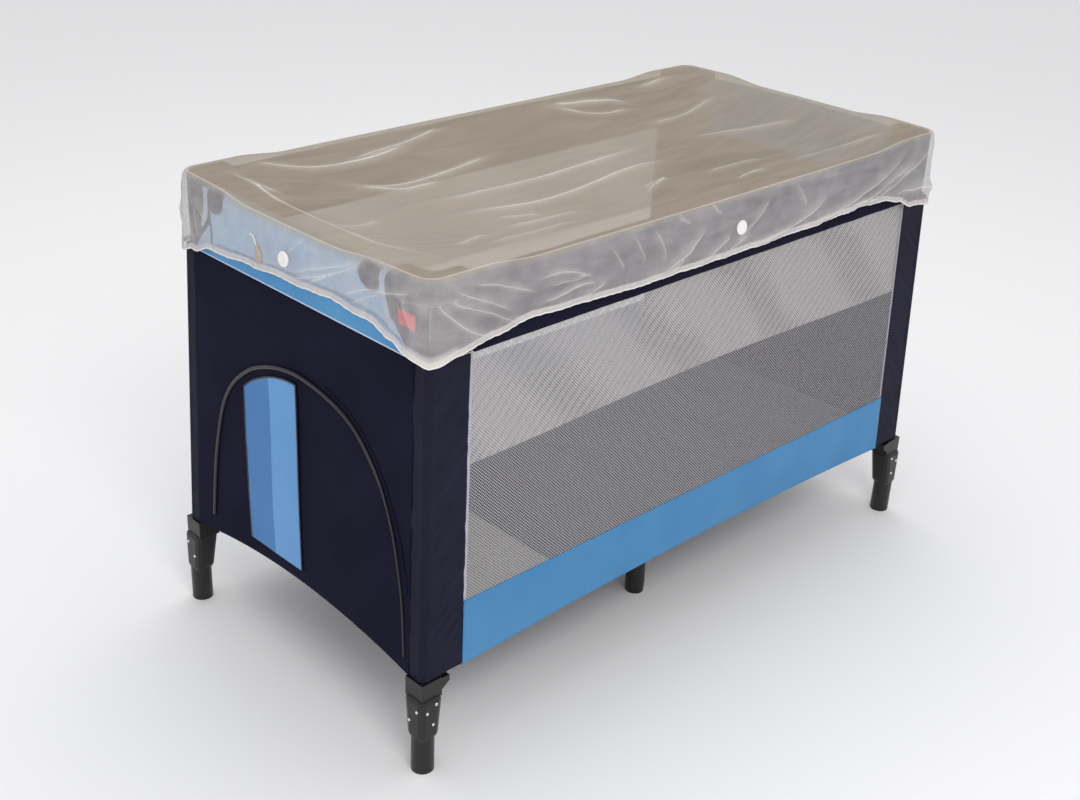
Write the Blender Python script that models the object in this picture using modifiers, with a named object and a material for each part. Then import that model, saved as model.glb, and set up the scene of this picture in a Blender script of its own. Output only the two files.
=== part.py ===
"""Mosquito net with an elastic hem, pulled over the rim of a folding travel cot.

Metres, +Z up, +X along the cot. The origin is on the ground under the middle of the cot.
The near end is at -X and the front side at -Y.
"""

import math

import bmesh
import bpy
from mathutils import Matrix, Vector

# Driving dimensions of the cot
RIM_LENGTH = 1.243
RIM_WIDTH = 0.625
RAIL_TOP = 0.8085
CAP_TOP = 0.8165
RAIL_FOOT = 0.693
RAIL_THICK = 0.034
CAP_ARM = 0.085
CAP_RADIUS = 0.032
CAP_INNER_RADIUS = 0.018
END_BOW = 0.011
SIDE_BOW = 0.004
POST_SIZE = 0.032
POST_RADIUS = 0.012
FLAP_REACH = 0.078
FABRIC = 0.003
MESH_THICK = 0.002
PANEL_FOOT = 0.170
PANEL_RISE = 0.031
BAND_RISE = 0.014
BAND_TOP = 0.2845
FLOOR_TOP = 0.193
FLOOR_THICK = 0.006
FLOOR_INSET = 0.048
MATTRESS_THICK = 0.022
MATTRESS_INSET = 0.008
MID_LEG_Y = 0.19
GAP = 0.0003

# Driving dimensions of the moulded feet
FOOT_REACH = 0.008
NECK_SIZE = 0.040
SOCKET_SIZE = 0.045
SOCKET_TOP = 0.141
SOCKET_FOOT = 0.062
WING_TIP = 0.060
WING_WIDTH = 0.034
WING_DEEP = 0.038
WING_SHALLOW = 0.010
LEG_RADIUS = 0.0185

# The cot stands a little wider at its feet than at its rim
SPLAY_X = 0.030
SPLAY_Y = 0.048
SPLAY_FROM = 0.69
SPLAY_DEPTH = 0.55

# Driving dimensions of the net
NET_THICK = 0.0015
HEM_THICK = 0.0030
NET_CLEAR = 0.0022
NET_RIDGE_RADIUS = 0.008
NET_RADIUS = 0.031
NET_SAG = 0.052
NET_FLARE = 0.007
NET_EDGE_REST = 0.046
NET_REST = 0.0005
CAP_TO_RAIL_START = 0.110
CAP_TO_RAIL_RUN = 0.100
STUD_RADIUS = 0.0125
STUD_THICK = 0.0035
STUD_FLAT = 0.032

HALF_LENGTH = RIM_LENGTH / 2
HALF_WIDTH = RIM_WIDTH / 2
NET_HALF_LENGTH = HALF_LENGTH + NET_CLEAR + NET_THICK
NET_HALF_WIDTH = HALF_WIDTH + NET_CLEAR + NET_THICK
SIDES = {"near": -1, "far": 1}
FACES = {"front": -1, "back": 1}

# Where the studs sit: place on the rim's unit square, and share of the skirt's fall
STUDS = {"front": (0.052, -1, 0.55), "near": (-1, -0.008, 0.604)}

# Where the pull of the elastic hangs, and how far it leans from upright, in degrees
PULL_PLACE = (-1, 0.185, 0.74)
PULL_LEAN = 22

# Colours of the parts, as sRGB hex values, with roughness and metallic
FINISHES = {
    "sheer_net": ("#c8c0b4", 0.6, 0.0),
    "white_plastic": ("#ece9e4", 0.4, 0.0),
    "beige_pull": ("#b9ab98", 0.5, 0.0),
    "grey_cap": ("#4a4a4d", 0.5, 0.0),
    "navy_cloth": ("#211f2e", 0.85, 0.0),
    "blue_cloth": ("#4f8fc4", 0.8, 0.0),
    "light_blue_cloth": ("#6aa0d0", 0.8, 0.0),
    "white_mesh": ("#c9c7c4", 0.8, 0.0),
    "mattress_cloth": ("#77757a", 0.9, 0.0),
    "black_plastic": ("#141416", 0.35, 0.0),
}

# Elastic hem: distance round the rim from the near front corner, height of the hem there
HEM = [
    # round, height
    (0.000, 0.690),
    (0.045, 0.703),
    (0.110, 0.714),
    (0.190, 0.725),
    (0.280, 0.721),
    (0.420, 0.717),
    (0.700, 0.716),
    (0.860, 0.720),
    (0.990, 0.725),
    (1.070, 0.719),
    (1.120, 0.708),
    (1.170, 0.690),
    (1.250, 0.679),
    (1.340, 0.703),
    (1.450, 0.723),
    (1.600, 0.729),
    (1.740, 0.716),
    (1.830, 0.700),
    (1.890, 0.687),
    (2.000, 0.709),
    (2.250, 0.722),
    (2.550, 0.715),
    (2.850, 0.723),
    (3.030, 0.706),
    (3.140, 0.684),
    (3.195, 0.698),
    (3.250, 0.716),
    (3.370, 0.726),
    (3.440, 0.731),
    (3.570, 0.737),
    (3.650, 0.731),
    (3.700, 0.716),
    (3.730, 0.702),
]

# Folds of the skirt: where each one lies round the rim at the ridge and at the hem
SKIRT_FOLDS = [
    # at ridge, at hem, half width, height
    (0.012, 0.115, 0.012, 0.0045),
    (0.020, 0.175, 0.014, 0.0050),
    (0.045, 0.240, 0.016, 0.0040),
    (0.285, 0.262, 0.011, 0.0050),
    (0.325, 0.318, 0.011, 0.0060),
    (0.400, 0.372, 0.015, 0.0045),
    (0.480, 0.452, 0.015, 0.0040),
    (0.565, 0.530, 0.016, 0.0045),
    (0.800, 0.715, 0.017, 0.0050),
    (0.905, 0.790, 0.018, 0.0060),
    (1.070, 0.880, 0.020, 0.0070),
    (1.150, 0.960, 0.018, 0.0060),
    (1.205, 1.050, 0.018, 0.0070),
    (1.235, 1.140, 0.018, 0.0080),
    (1.262, 1.215, 0.022, 0.0085),
    (1.300, 1.345, 0.018, 0.0060),
    (1.470, 1.450, 0.018, 0.0040),
    (1.690, 1.720, 0.018, 0.0045),
    (1.850, 1.815, 0.018, 0.0060),
    (1.905, 1.965, 0.020, 0.0060),
    (1.985, 2.090, 0.018, 0.0050),
    (2.260, 2.240, 0.018, 0.0045),
    (2.420, 2.440, 0.018, 0.0040),
    (2.640, 2.660, 0.018, 0.0045),
    (2.960, 2.880, 0.020, 0.0050),
    (3.080, 3.010, 0.018, 0.0060),
    (3.120, 3.128, 0.016, 0.0070),
    (3.160, 3.170, 0.013, 0.0055),
    (3.185, 3.212, 0.013, 0.0050),
    (3.230, 3.255, 0.014, 0.0040),
    (3.600, 3.470, 0.016, 0.0060),
    (3.660, 3.560, 0.014, 0.0055),
    (3.700, 3.625, 0.012, 0.0050),
    (3.725, 3.680, 0.012, 0.0045),
]

# Creases of the top: two ends in plan, sideways bow, half width and height
TOP_CREASES = [
    # from x, from y, to x, to y, bow, half width, height
    (-0.560, 0.285, -0.050, 0.262, -0.105, 0.022, 0.0080),
    (-0.420, 0.172, -0.130, 0.150, -0.062, 0.018, 0.0060),
    (-0.400, 0.052, 0.240, 0.058, -0.014, 0.018, 0.0065),
    (-0.330, -0.012, 0.290, -0.014, -0.028, 0.018, 0.0065),
    (-0.300, -0.105, -0.080, -0.135, -0.010, 0.016, 0.0050),
    (-0.110, -0.205, 0.120, -0.130, 0.010, 0.018, 0.0055),
    (0.020, -0.125, 0.320, -0.165, 0.012, 0.016, 0.0050),
    (0.110, 0.275, 0.400, 0.170, -0.075, 0.022, 0.0075),
    (0.400, 0.280, 0.560, 0.280, -0.070, 0.022, 0.0080),
    (0.330, 0.060, 0.540, -0.060, 0.010, 0.020, 0.0045),
    (0.280, -0.205, 0.540, -0.270, 0.015, 0.016, 0.0050),
    (-0.575, -0.020, -0.430, 0.030, 0.010, 0.018, 0.0045),
    (-0.570, -0.265, -0.360, -0.225, -0.012, 0.018, 0.0050),
]


def clear_scene():
    """Remove every object of the scene."""
    for old in list(bpy.data.objects):
        bpy.data.objects.remove(old, do_unlink=True)


def linear(hex_colour):
    """An sRGB hex colour as linear values with alpha."""
    channels = [int(hex_colour[i : i + 2], 16) / 255 for i in (1, 3, 5)]
    return [c / 12.92 if c <= 0.04045 else ((c + 0.055) / 1.055) ** 2.4 for c in channels] + [1.0]


def make_materials():
    """One Principled material for each finish."""
    made = {}
    for name, (colour, roughness, metallic) in FINISHES.items():
        material = bpy.data.materials.new(name)
        material.use_nodes = True
        shader = material.node_tree.nodes["Principled BSDF"]
        shader.inputs["Base Color"].default_value = linear(colour)
        shader.inputs["Roughness"].default_value = roughness
        shader.inputs["Metallic"].default_value = metallic
        material.diffuse_color = linear(colour)
        made[name] = material
    return made


def smoothstep(value):
    """0 below 0, 1 above 1 and a smooth rise between."""
    value = min(max(value, 0.0), 1.0)
    return value * value * (3 - 2 * value)


def splay(point):
    """Move a point of the cot's lower part outwards, by more the lower it is."""
    drop = max(SPLAY_FROM - point.z, 0.0) / SPLAY_DEPTH
    return Vector((point.x * (1 + SPLAY_X * drop), point.y * (1 + SPLAY_Y * drop), point.z))


def add_object(name, mesh, finish):
    """Put a mesh into the object's collection under its name and material."""
    obj = bpy.data.objects.new(name, mesh)
    mesh.name = name
    mesh.materials.clear()
    mesh.materials.append(MATERIALS[finish])
    CLOTH_AND_COT.objects.link(obj)
    return obj


def move_points(obj, rule):
    """Give each point of an object's mesh its place by a rule."""
    for vertex in obj.data.vertices:
        vertex.co = rule(vertex.co)


def add_bevel(obj, width, segments=2):
    """Round the edges of an object that turn by more than 40 degrees."""
    bevel = obj.modifiers.new("rounded edges", "BEVEL")
    bevel.width = width
    bevel.segments = segments
    bevel.limit_method = "ANGLE"
    bevel.use_clamp_overlap = False
    bevel.angle_limit = math.radians(40)


def box(name, low, high, finish):
    """A box between two corners."""
    low = Vector(low)
    high = Vector(high)
    bm = bmesh.new()
    place = Matrix.Translation((low + high) / 2) @ Matrix.Diagonal((*(high - low), 1.0))
    bmesh.ops.create_cube(bm, size=1.0, matrix=place)
    mesh = bpy.data.meshes.new(name)
    bm.to_mesh(mesh)
    bm.free()
    return add_object(name, mesh, finish)


def plate(name, outline, low, high, finish, turn=None):
    """A flat outline with thickness from low to high, turned into its place.

    The outline is drawn in X and Y and the thickness runs along Z before the turn.
    """
    curve = bpy.data.curves.new(name, "CURVE")
    curve.dimensions = "2D"
    curve.fill_mode = "BOTH"
    curve.extrude = (high - low) / 2
    spline = curve.splines.new("POLY")
    spline.points.add(len(outline) - 1)
    for point, (x, y) in zip(spline.points, outline):
        point.co = (x, y, 0.0, 1.0)
    spline.use_cyclic_u = True
    guide = bpy.data.objects.new(name + " outline", curve)
    CLOTH_AND_COT.objects.link(guide)
    bpy.context.view_layer.update()
    graph = bpy.context.evaluated_depsgraph_get()
    mesh = bpy.data.meshes.new_from_object(guide.evaluated_get(graph))
    bpy.data.objects.remove(guide, do_unlink=True)
    bm = bmesh.new()
    bm.from_mesh(mesh)
    bmesh.ops.remove_doubles(bm, verts=bm.verts, dist=0.00001)
    bmesh.ops.dissolve_limit(bm, angle_limit=math.radians(1), verts=bm.verts, edges=bm.edges)
    place = Matrix.Translation((0.0, 0.0, (low + high) / 2))
    if turn:
        place = turn @ place
    bmesh.ops.transform(bm, matrix=place, verts=bm.verts)
    bmesh.ops.recalc_face_normals(bm, faces=bm.faces)
    bm.to_mesh(mesh)
    bm.free()
    return add_object(name, mesh, finish)


def arc(centre, radius, start, end, steps):
    """Points of an arc, from one angle in degrees to another."""
    points = []
    for i in range(steps + 1):
        angle = math.radians(start + (end - start) * i / steps)
        points.append((centre[0] + radius * math.cos(angle), centre[1] + radius * math.sin(angle)))
    return points


def cut_across(obj, axis, cuts):
    """Divide the long edges of a bar, so that it can bow."""
    bm = bmesh.new()
    bm.from_mesh(obj.data)
    longest = max(edge.calc_length() for edge in bm.edges)
    direction = Vector([axis == i for i in range(3)])
    long_edges = []
    for edge in bm.edges:
        along = (edge.verts[0].co - edge.verts[1].co).normalized().dot(direction)
        if edge.calc_length() > longest * 0.9 and abs(along) > 0.999:
            long_edges.append(edge)
    bmesh.ops.subdivide_edges(bm, edges=long_edges, cuts=cuts, use_grid_fill=True)
    bm.to_mesh(obj.data)
    bm.free()


def bow_of(along, half_span, bow):
    """How far a rail bows outwards at a place along it."""
    return bow * max(1 - (along / half_span) ** 2, 0.0)


def make_rails():
    """Four padded rails: round on top, and tapering to their sewn lower edge."""
    radius = RAIL_THICK / 2
    height = RAIL_TOP - RAIL_FOOT
    section = [(0.0, RAIL_FOOT), (0.007, RAIL_FOOT), (0.012, RAIL_FOOT + height * 0.35)]
    section += [(RAIL_THICK, RAIL_TOP - radius * 1.5)]
    section += arc((radius, RAIL_TOP - radius), radius, 0, 180, 8)
    for face, sign in FACES.items():
        half = HALF_LENGTH - CAP_ARM - GAP
        turn = Matrix(((0, 0, 1, 0), (-sign, 0, 0, sign * HALF_WIDTH), (0, 1, 0, 0), (0, 0, 0, 1)))
        rail = plate("rail_" + face, section, -half, half, "navy_cloth", turn)
        cut_across(rail, 0, 10)

        def bow_side(point, sign=sign, half=half):
            lift = (point.z - RAIL_FOOT) / height
            return point + Vector((0.0, sign * lift * bow_of(point.x, half, SIDE_BOW), 0.0))

        move_points(rail, bow_side)
        rail.data.shade_smooth()
    for end, sign in SIDES.items():
        half = HALF_WIDTH - CAP_ARM - GAP
        turn = Matrix(((-sign, 0, 0, sign * HALF_LENGTH), (0, 0, 1, 0), (0, 1, 0, 0), (0, 0, 0, 1)))
        rail = plate("rail_" + end, section, -half, half, "light_blue_cloth", turn)
        cut_across(rail, 1, 8)

        def bow_end(point, sign=sign, half=half):
            lift = (point.z - RAIL_FOOT) / height
            return point + Vector((sign * lift * bow_of(point.y, half, END_BOW), 0.0, 0.0))

        move_points(rail, bow_end)
        rail.data.shade_smooth()


def make_caps():
    """Moulded caps over the four corners of the rim, each with two short arms."""
    centre = RAIL_THICK + CAP_INNER_RADIUS
    for end, sx in SIDES.items():
        for face, sy in FACES.items():
            outline = [(CAP_ARM, 0.0), (CAP_ARM, RAIL_THICK)]
            outline += arc((centre, centre), CAP_INNER_RADIUS, 270, 180, 4)
            outline += [(RAIL_THICK, CAP_ARM), (0.0, CAP_ARM)]
            outline += arc((CAP_RADIUS, CAP_RADIUS), CAP_RADIUS, 180, 270, 5)
            placed = [(sx * (HALF_LENGTH - x), sy * (HALF_WIDTH - y)) for x, y in outline]
            cap = plate(f"cap_{end}_{face}", placed, RAIL_FOOT, CAP_TOP, "grey_cap")
            add_bevel(cap, 0.006, 2)


def make_posts():
    """Sleeved corner posts, each with the flap that is sewn to the side's mesh."""
    size = POST_SIZE
    for end, sx in SIDES.items():
        for face, sy in FACES.items():
            outline = arc((POST_RADIUS, POST_RADIUS), POST_RADIUS, 180, 270, 4)
            outline += [(FLAP_REACH, 0.0), (FLAP_REACH, FABRIC), (size, FABRIC)]
            outline += [(size, size), (0.0, size)]
            placed = [(sx * (HALF_LENGTH - x), sy * (HALF_WIDTH - y)) for x, y in outline]
            post = plate(f"post_{end}_{face}", placed, PANEL_FOOT, RAIL_FOOT - GAP, "navy_cloth")
            move_points(post, splay)


def arched(half, foot, rise, top):
    """Outline of a panel with a straight top and a gently arched lower edge."""
    outline = [(half, top), (-half, top)]
    steps = 12
    for i in range(steps + 1):
        along = -half + 2 * half * i / steps
        outline.append((along, foot + rise * (1 - (along / half) ** 2)))
    return outline


def make_sides():
    """The see-through mesh and the blue band under it, on both long sides."""
    half = HALF_LENGTH - FLAP_REACH - GAP
    for face, sign in FACES.items():
        outer = sign * HALF_WIDTH
        inner = outer - sign * MESH_THICK
        low = (-half, min(outer, inner), BAND_TOP + GAP)
        high = (half, max(outer, inner), RAIL_FOOT - GAP)
        mesh = box("mesh_" + face, low, high, "white_mesh")
        turn = Matrix(((1, 0, 0, 0), (0, 0, -sign, outer), (0, 1, 0, 0), (0, 0, 0, 1)))
        outline = arched(half, PANEL_FOOT, BAND_RISE, BAND_TOP)
        band = plate("band_" + face, outline, 0.0, FABRIC, "blue_cloth", turn)
        for piece in (mesh, band):
            move_points(piece, splay)


def make_ends():
    """Navy end panels with an arched lower edge between the posts."""
    half = HALF_WIDTH - POST_SIZE - GAP
    outline = arched(half, PANEL_FOOT, PANEL_RISE, RAIL_FOOT - GAP)
    for end, sign in SIDES.items():
        turn = Matrix(((0, 0, -sign, sign * HALF_LENGTH), (1, 0, 0, 0), (0, 1, 0, 0), (0, 0, 0, 1)))
        panel = plate("panel_" + end, outline, 0.0, FABRIC, "navy_cloth", turn)
        move_points(panel, splay)


def make_floor():
    """The cot's base, the mattress that lies on it and the two middle legs."""
    low = FLOOR_TOP - FLOOR_THICK
    spread = splay(Vector((HALF_LENGTH, HALF_WIDTH, low)))
    half_x = spread.x - FLOOR_INSET
    half_y = splay(Vector((0.0, HALF_WIDTH - FABRIC - GAP, FLOOR_TOP))).y
    box("floor", (-half_x, -half_y, low), (half_x, half_y, FLOOR_TOP), "navy_cloth")
    x = half_x - MATTRESS_INSET
    y = half_y - MATTRESS_INSET
    foot = FLOOR_TOP + GAP
    mattress = box("mattress", (-x, -y, foot), (x, y, foot + MATTRESS_THICK), "mattress_cloth")
    add_bevel(mattress, 0.008, 2)
    for face, sign in FACES.items():
        profile = [(0.0165, low - GAP), (0.0165, 0.10), (0.0185, 0.02), (0.0175, 0.0)]
        leg = turned("leg_mid_" + face, profile, (0.0, sign * MID_LEG_Y, 0.0))
        leg.data.materials.append(MATERIALS["black_plastic"])


def turned(name, profile, place):
    """A solid turned round a vertical axis from its outer profile, top to bottom."""
    bm = bmesh.new()
    rim = [(0.0, profile[0][1])] + profile + [(0.0, profile[-1][1])]
    points = [bm.verts.new((r, 0.0, z)) for r, z in rim]
    for first, second in zip(points, points[1:]):
        bm.edges.new((first, second))
    mesh = bpy.data.meshes.new(name)
    bm.to_mesh(mesh)
    bm.free()
    obj = bpy.data.objects.new(name, mesh)
    obj.location = place
    CLOTH_AND_COT.objects.link(obj)
    screw = obj.modifiers.new("turned", "SCREW")
    screw.steps = 20
    screw.render_steps = 20
    screw.use_merge_vertices = True
    screw.merge_threshold = 0.00001
    return obj


def make_feet():
    """Moulded feet: a neck and socket under the post, a gusset along the side and a round leg."""
    for end, sx in SIDES.items():
        for face, sy in FACES.items():
            make_foot(f"foot_{end}_{face}", sx, sy)


def make_foot(name, sx, sy):
    """One foot, joined from its socket, neck, gusset and leg. Its outer faces are in line."""
    corner = splay(Vector((sx * HALF_LENGTH, sy * HALF_WIDTH, PANEL_FOOT)))
    x = corner.x + sx * FOOT_REACH
    y = corner.y + sy * FOOT_REACH
    inset = SOCKET_SIZE - NECK_SIZE
    size = SOCKET_SIZE
    socket = [(0.0, size, SOCKET_TOP), (0.0, LEG_RADIUS * 2, SOCKET_FOOT)]
    bm = tapered(x, y, sx, sy, socket)
    mesh = bpy.data.meshes.new(name)
    bm.to_mesh(mesh)
    bm.free()
    foot = add_object(name, mesh, "black_plastic")
    add_bevel(foot, 0.009, 2)
    top = PANEL_FOOT - GAP
    neck = [(inset, NECK_SIZE, top), (inset, NECK_SIZE, SOCKET_TOP - inset)]
    join(foot, helper(name + " neck", tapered(x, y, sx, sy, neck)))
    bm = bmesh.new()
    bmesh.ops.create_cube(bm, size=1.0)
    for vertex in bm.verts:
        at_tip = vertex.co.x > 0
        along = WING_TIP if at_tip else SOCKET_SIZE / 2
        across = inset + (WING_WIDTH if vertex.co.y > 0 else 0.0)
        drop = 0.0 if vertex.co.z > 0 else (WING_SHALLOW if at_tip else WING_DEEP)
        vertex.co = (x - sx * along, y - sy * across, top - inset / 2 - drop)
    bmesh.ops.recalc_face_normals(bm, faces=bm.faces)
    join(foot, helper(name + " gusset", bm))
    bm = bmesh.new()
    length = SOCKET_FOOT + 0.02
    place = Matrix.Translation((x - sx * LEG_RADIUS, y - sy * LEG_RADIUS, length / 2))
    bmesh.ops.create_cone(
        bm,
        cap_ends=True,
        segments=20,
        radius1=LEG_RADIUS,
        radius2=LEG_RADIUS,
        depth=length,
        matrix=place,
    )
    join(foot, helper(name + " leg", bm))


def tapered(x, y, sx, sy, levels):
    """A square block from its upper level to its lower one: inset, size and height of each."""
    bm = bmesh.new()
    bmesh.ops.create_cube(bm, size=1.0)
    for vertex in bm.verts:
        inset, size, height = levels[0] if vertex.co.z > 0 else levels[1]
        out_x = inset + (size if vertex.co.x > 0 else 0.0)
        out_y = inset + (size if vertex.co.y > 0 else 0.0)
        vertex.co = (x - sx * out_x, y - sy * out_y, height)
    bmesh.ops.recalc_face_normals(bm, faces=bm.faces)
    return bm


def helper(name, bm):
    """A hidden object for a Boolean."""
    mesh = bpy.data.meshes.new(name)
    bm.to_mesh(mesh)
    bm.free()
    obj = bpy.data.objects.new(name, mesh)
    obj.hide_render = True
    obj.display_type = "WIRE"
    JOINED_SHAPES.objects.link(obj)
    return obj


def join(obj, other):
    """Fuse a helper's shape into an object."""
    union = obj.modifiers.new("join " + other.name, "BOOLEAN")
    union.operation = "UNION"
    union.solver = "EXACT"
    union.object = other


def rim_place(u, v):
    """Plan of the net's ridge and top: the unit square as a rectangle with round corners."""
    x = u * NET_HALF_LENGTH
    y = v * NET_HALF_WIDTH
    core_x = max(-NET_HALF_LENGTH + NET_RADIUS, min(NET_HALF_LENGTH - NET_RADIUS, x))
    core_y = max(-NET_HALF_WIDTH + NET_RADIUS, min(NET_HALF_WIDTH - NET_RADIUS, y))
    off = Vector((x - core_x, y - core_y))
    if off.length > 0:
        off *= max(abs(off.x), abs(off.y)) / off.length
    out_x = END_BOW * u * abs(u) ** 3 * max(1 - v * v, 0.0)
    out_y = SIDE_BOW * v * abs(v) ** 3 * max(1 - u * u, 0.0)
    return Vector((core_x + off.x + out_x, core_y + off.y + out_y))


def outward(u, v):
    """Direction that faces away from the net at its rim."""
    x = u * NET_HALF_LENGTH
    y = v * NET_HALF_WIDTH
    core_x = max(-NET_HALF_LENGTH + NET_RADIUS, min(NET_HALF_LENGTH - NET_RADIUS, x))
    core_y = max(-NET_HALF_WIDTH + NET_RADIUS, min(NET_HALF_WIDTH - NET_RADIUS, y))
    return Vector((x - core_x, y - core_y)).normalized()


def round_rim(u, v):
    """Distance round the rim from the near front corner, by way of the front side."""
    x = (u + 1) * NET_HALF_LENGTH
    y = (v + 1) * NET_HALF_WIDTH
    length = 2 * NET_HALF_LENGTH
    width = 2 * NET_HALF_WIDTH
    if abs(v) >= abs(u):
        return x if v < 0 else length + width + (length - x)
    return length + y if u > 0 else 2 * length + width + (width - y)


def hem_height(place):
    """Height of the hem at a distance round the rim."""
    total = 4 * (NET_HALF_LENGTH + NET_HALF_WIDTH)
    rows = HEM + [(total, HEM[0][1])]
    for (start, low), (end, high) in zip(rows, rows[1:]):
        if start <= place <= end:
            return low + (high - low) * smoothstep((place - start) / (end - start))
    return HEM[0][1]


def fold_height(place, fall):
    """How far the folds push the skirt out, at a place round it and a share of its fall."""
    total = 4 * (NET_HALF_LENGTH + NET_HALF_WIDTH)
    rise = 0.0
    for at_ridge, at_hem, half_width, height in SKIRT_FOLDS:
        away = place - (at_ridge + (at_hem - at_ridge) * fall)
        away -= total * round(away / total)
        rise += height * math.exp(-((away / half_width) ** 2))
    for u, v, _ in STUDS.values():
        rise *= smoothstep((abs(place - round_rim(u, v)) - STUD_FLAT) / 0.02)
    return rise * smoothstep(fall / 0.3)


def ridge_height(u, v):
    """Height of the net's upper face where it lies on the rails and the corner caps."""
    on_rail = RAIL_TOP + NET_REST + NET_THICK
    on_cap = CAP_TOP + NET_REST + NET_THICK
    from_corner_x = (1 - abs(u)) * NET_HALF_LENGTH
    from_corner_y = (1 - abs(v)) * NET_HALF_WIDTH
    beyond = max(from_corner_x, from_corner_y) - CAP_TO_RAIL_START
    return on_cap + (on_rail - on_cap) * smoothstep(beyond / CAP_TO_RAIL_RUN)


def crease_height(x, y):
    """How far the creases lift the net's top at a place in plan."""
    rise = 0.0
    for x0, y0, x1, y1, bow, half_width, height in TOP_CREASES:
        start = Vector((x0, y0))
        run = Vector((x1, y1)) - start
        off = Vector((x, y)) - start
        share = off.dot(run) / run.length_squared
        if 0 < share < 1:
            side = run.normalized().orthogonal().dot(off)
            side -= bow * math.sin(math.pi * share) * (1 if run.x >= 0 else -1)
            rise += height * math.exp(-((side / half_width) ** 2)) * math.sin(math.pi * share) ** 0.5
    return rise


def top_point(u, v):
    """A point of the net's top: level on the rim, and sagging with creases inside it."""
    plan = rim_place(u, v)
    inner_x = NET_HALF_LENGTH - NET_EDGE_REST
    inner_y = NET_HALF_WIDTH - NET_EDGE_REST
    across = max(1 - (plan.y / inner_y) ** 2, 0.0)
    along = max(1 - abs(plan.x / inner_x) ** 5, 0.0)
    sag = NET_SAG * across * along
    free = smoothstep(sag / (0.35 * NET_SAG))
    height = ridge_height(u, v) - sag + crease_height(plan.x, plan.y) * free
    return Vector((plan.x, plan.y, height))


def skirt_point(u, v, fall):
    """A point of the skirt's outer face at a share of its fall from ridge to hem."""
    plan = rim_place(u, v)
    out = outward(u, v)
    place = round_rim(u, v)
    ridge = ridge_height(u, v)
    height = ridge + (hem_height(place) - ridge) * fall
    push = NET_FLARE * fall + fold_height(place, fall)
    return Vector((plan.x + out.x * push, plan.y + out.y * push, height))


def make_net():
    """The net in one piece: a grid for the top, whose border is drawn out and down as the skirt."""
    bm = bmesh.new()
    bmesh.ops.create_grid(bm, x_segments=52, y_segments=28, size=1.0)
    u_layer = bm.verts.layers.float.new("u")
    v_layer = bm.verts.layers.float.new("v")
    hem_layer = bm.verts.layers.deform.new()
    for vertex in bm.verts:
        vertex[u_layer], vertex[v_layer] = vertex.co.x, vertex.co.y
    border = [edge for edge in bm.edges if edge.is_boundary]
    rows = [0.075, 0.24, 0.42, 0.60, 0.78, 0.92, 1.0]
    rings = []
    for _ in rows:
        drawn = bmesh.ops.extrude_edge_only(bm, edges=border)["geom"]
        border = [item for item in drawn if isinstance(item, bmesh.types.BMEdge)]
        rings.append([item for item in drawn if isinstance(item, bmesh.types.BMVert)])
    skirt = {vertex for ring in rings for vertex in ring}
    for vertex in bm.verts:
        u, v = vertex[u_layer], vertex[v_layer]
        vertex[hem_layer][0] = NET_THICK / HEM_THICK
        if vertex not in skirt:
            vertex.co = top_point(u, v)
            if max(abs(u), abs(v)) > 0.9999:
                out = outward(u, v)
                vertex.co.x -= out.x * NET_RIDGE_RADIUS * 0.5
                vertex.co.y -= out.y * NET_RIDGE_RADIUS * 0.5
    for ring, fall in zip(rings, rows):
        for vertex in ring:
            vertex.co = skirt_point(vertex[u_layer], vertex[v_layer], fall)
            if fall == 1.0:
                vertex[hem_layer][0] = 1.0
    bmesh.ops.recalc_face_normals(bm, faces=bm.faces)
    centre = min(bm.faces, key=lambda face: face.calc_center_median().xy.length)
    if centre.normal.z < 0:
        bmesh.ops.reverse_faces(bm, faces=bm.faces)
    mesh = bpy.data.meshes.new("net")
    bm.to_mesh(mesh)
    bm.free()
    net = add_object("net", mesh, "sheer_net")
    net.vertex_groups.new(name="thickness")
    wall = net.modifiers.new("cloth thickness", "SOLIDIFY")
    wall.thickness = HEM_THICK
    wall.offset = -1
    wall.vertex_group = "thickness"
    wall.use_even_offset = False
    mesh.shade_smooth()
    return net


def on_skirt(u, v, fall):
    """A place on the skirt's outer face and the turn that lays +Z along its normal there."""
    step = 0.02
    point = skirt_point(u, v, fall)
    down = skirt_point(u, v, fall + step * 4) - skirt_point(u, v, fall - step * 4)
    out = outward(u, v)
    along = Vector((-out.y, out.x, 0.0))
    normal = down.cross(along).normalized()
    if normal.xy.dot(out) < 0:
        normal.negate()
    turn = Vector((0, 0, 1)).rotation_difference(normal).to_matrix().to_4x4()
    return Matrix.Translation(point) @ turn


def make_studs():
    """White studs at the middle of the front and of the near end."""
    for name, (u, v, fall) in STUDS.items():
        bm = bmesh.new()
        bmesh.ops.create_cone(
            bm,
            cap_ends=True,
            segments=20,
            radius1=STUD_RADIUS,
            radius2=STUD_RADIUS * 0.86,
            depth=STUD_THICK,
        )
        stand = Matrix.Translation((0.0, 0.0, STUD_THICK / 2 + GAP))
        place = on_skirt(u, v, fall) @ stand
        bmesh.ops.transform(bm, matrix=place, verts=bm.verts)
        mesh = bpy.data.meshes.new(name)
        bm.to_mesh(mesh)
        bm.free()
        add_object("net_stud_" + name, mesh, "white_plastic")


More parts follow.
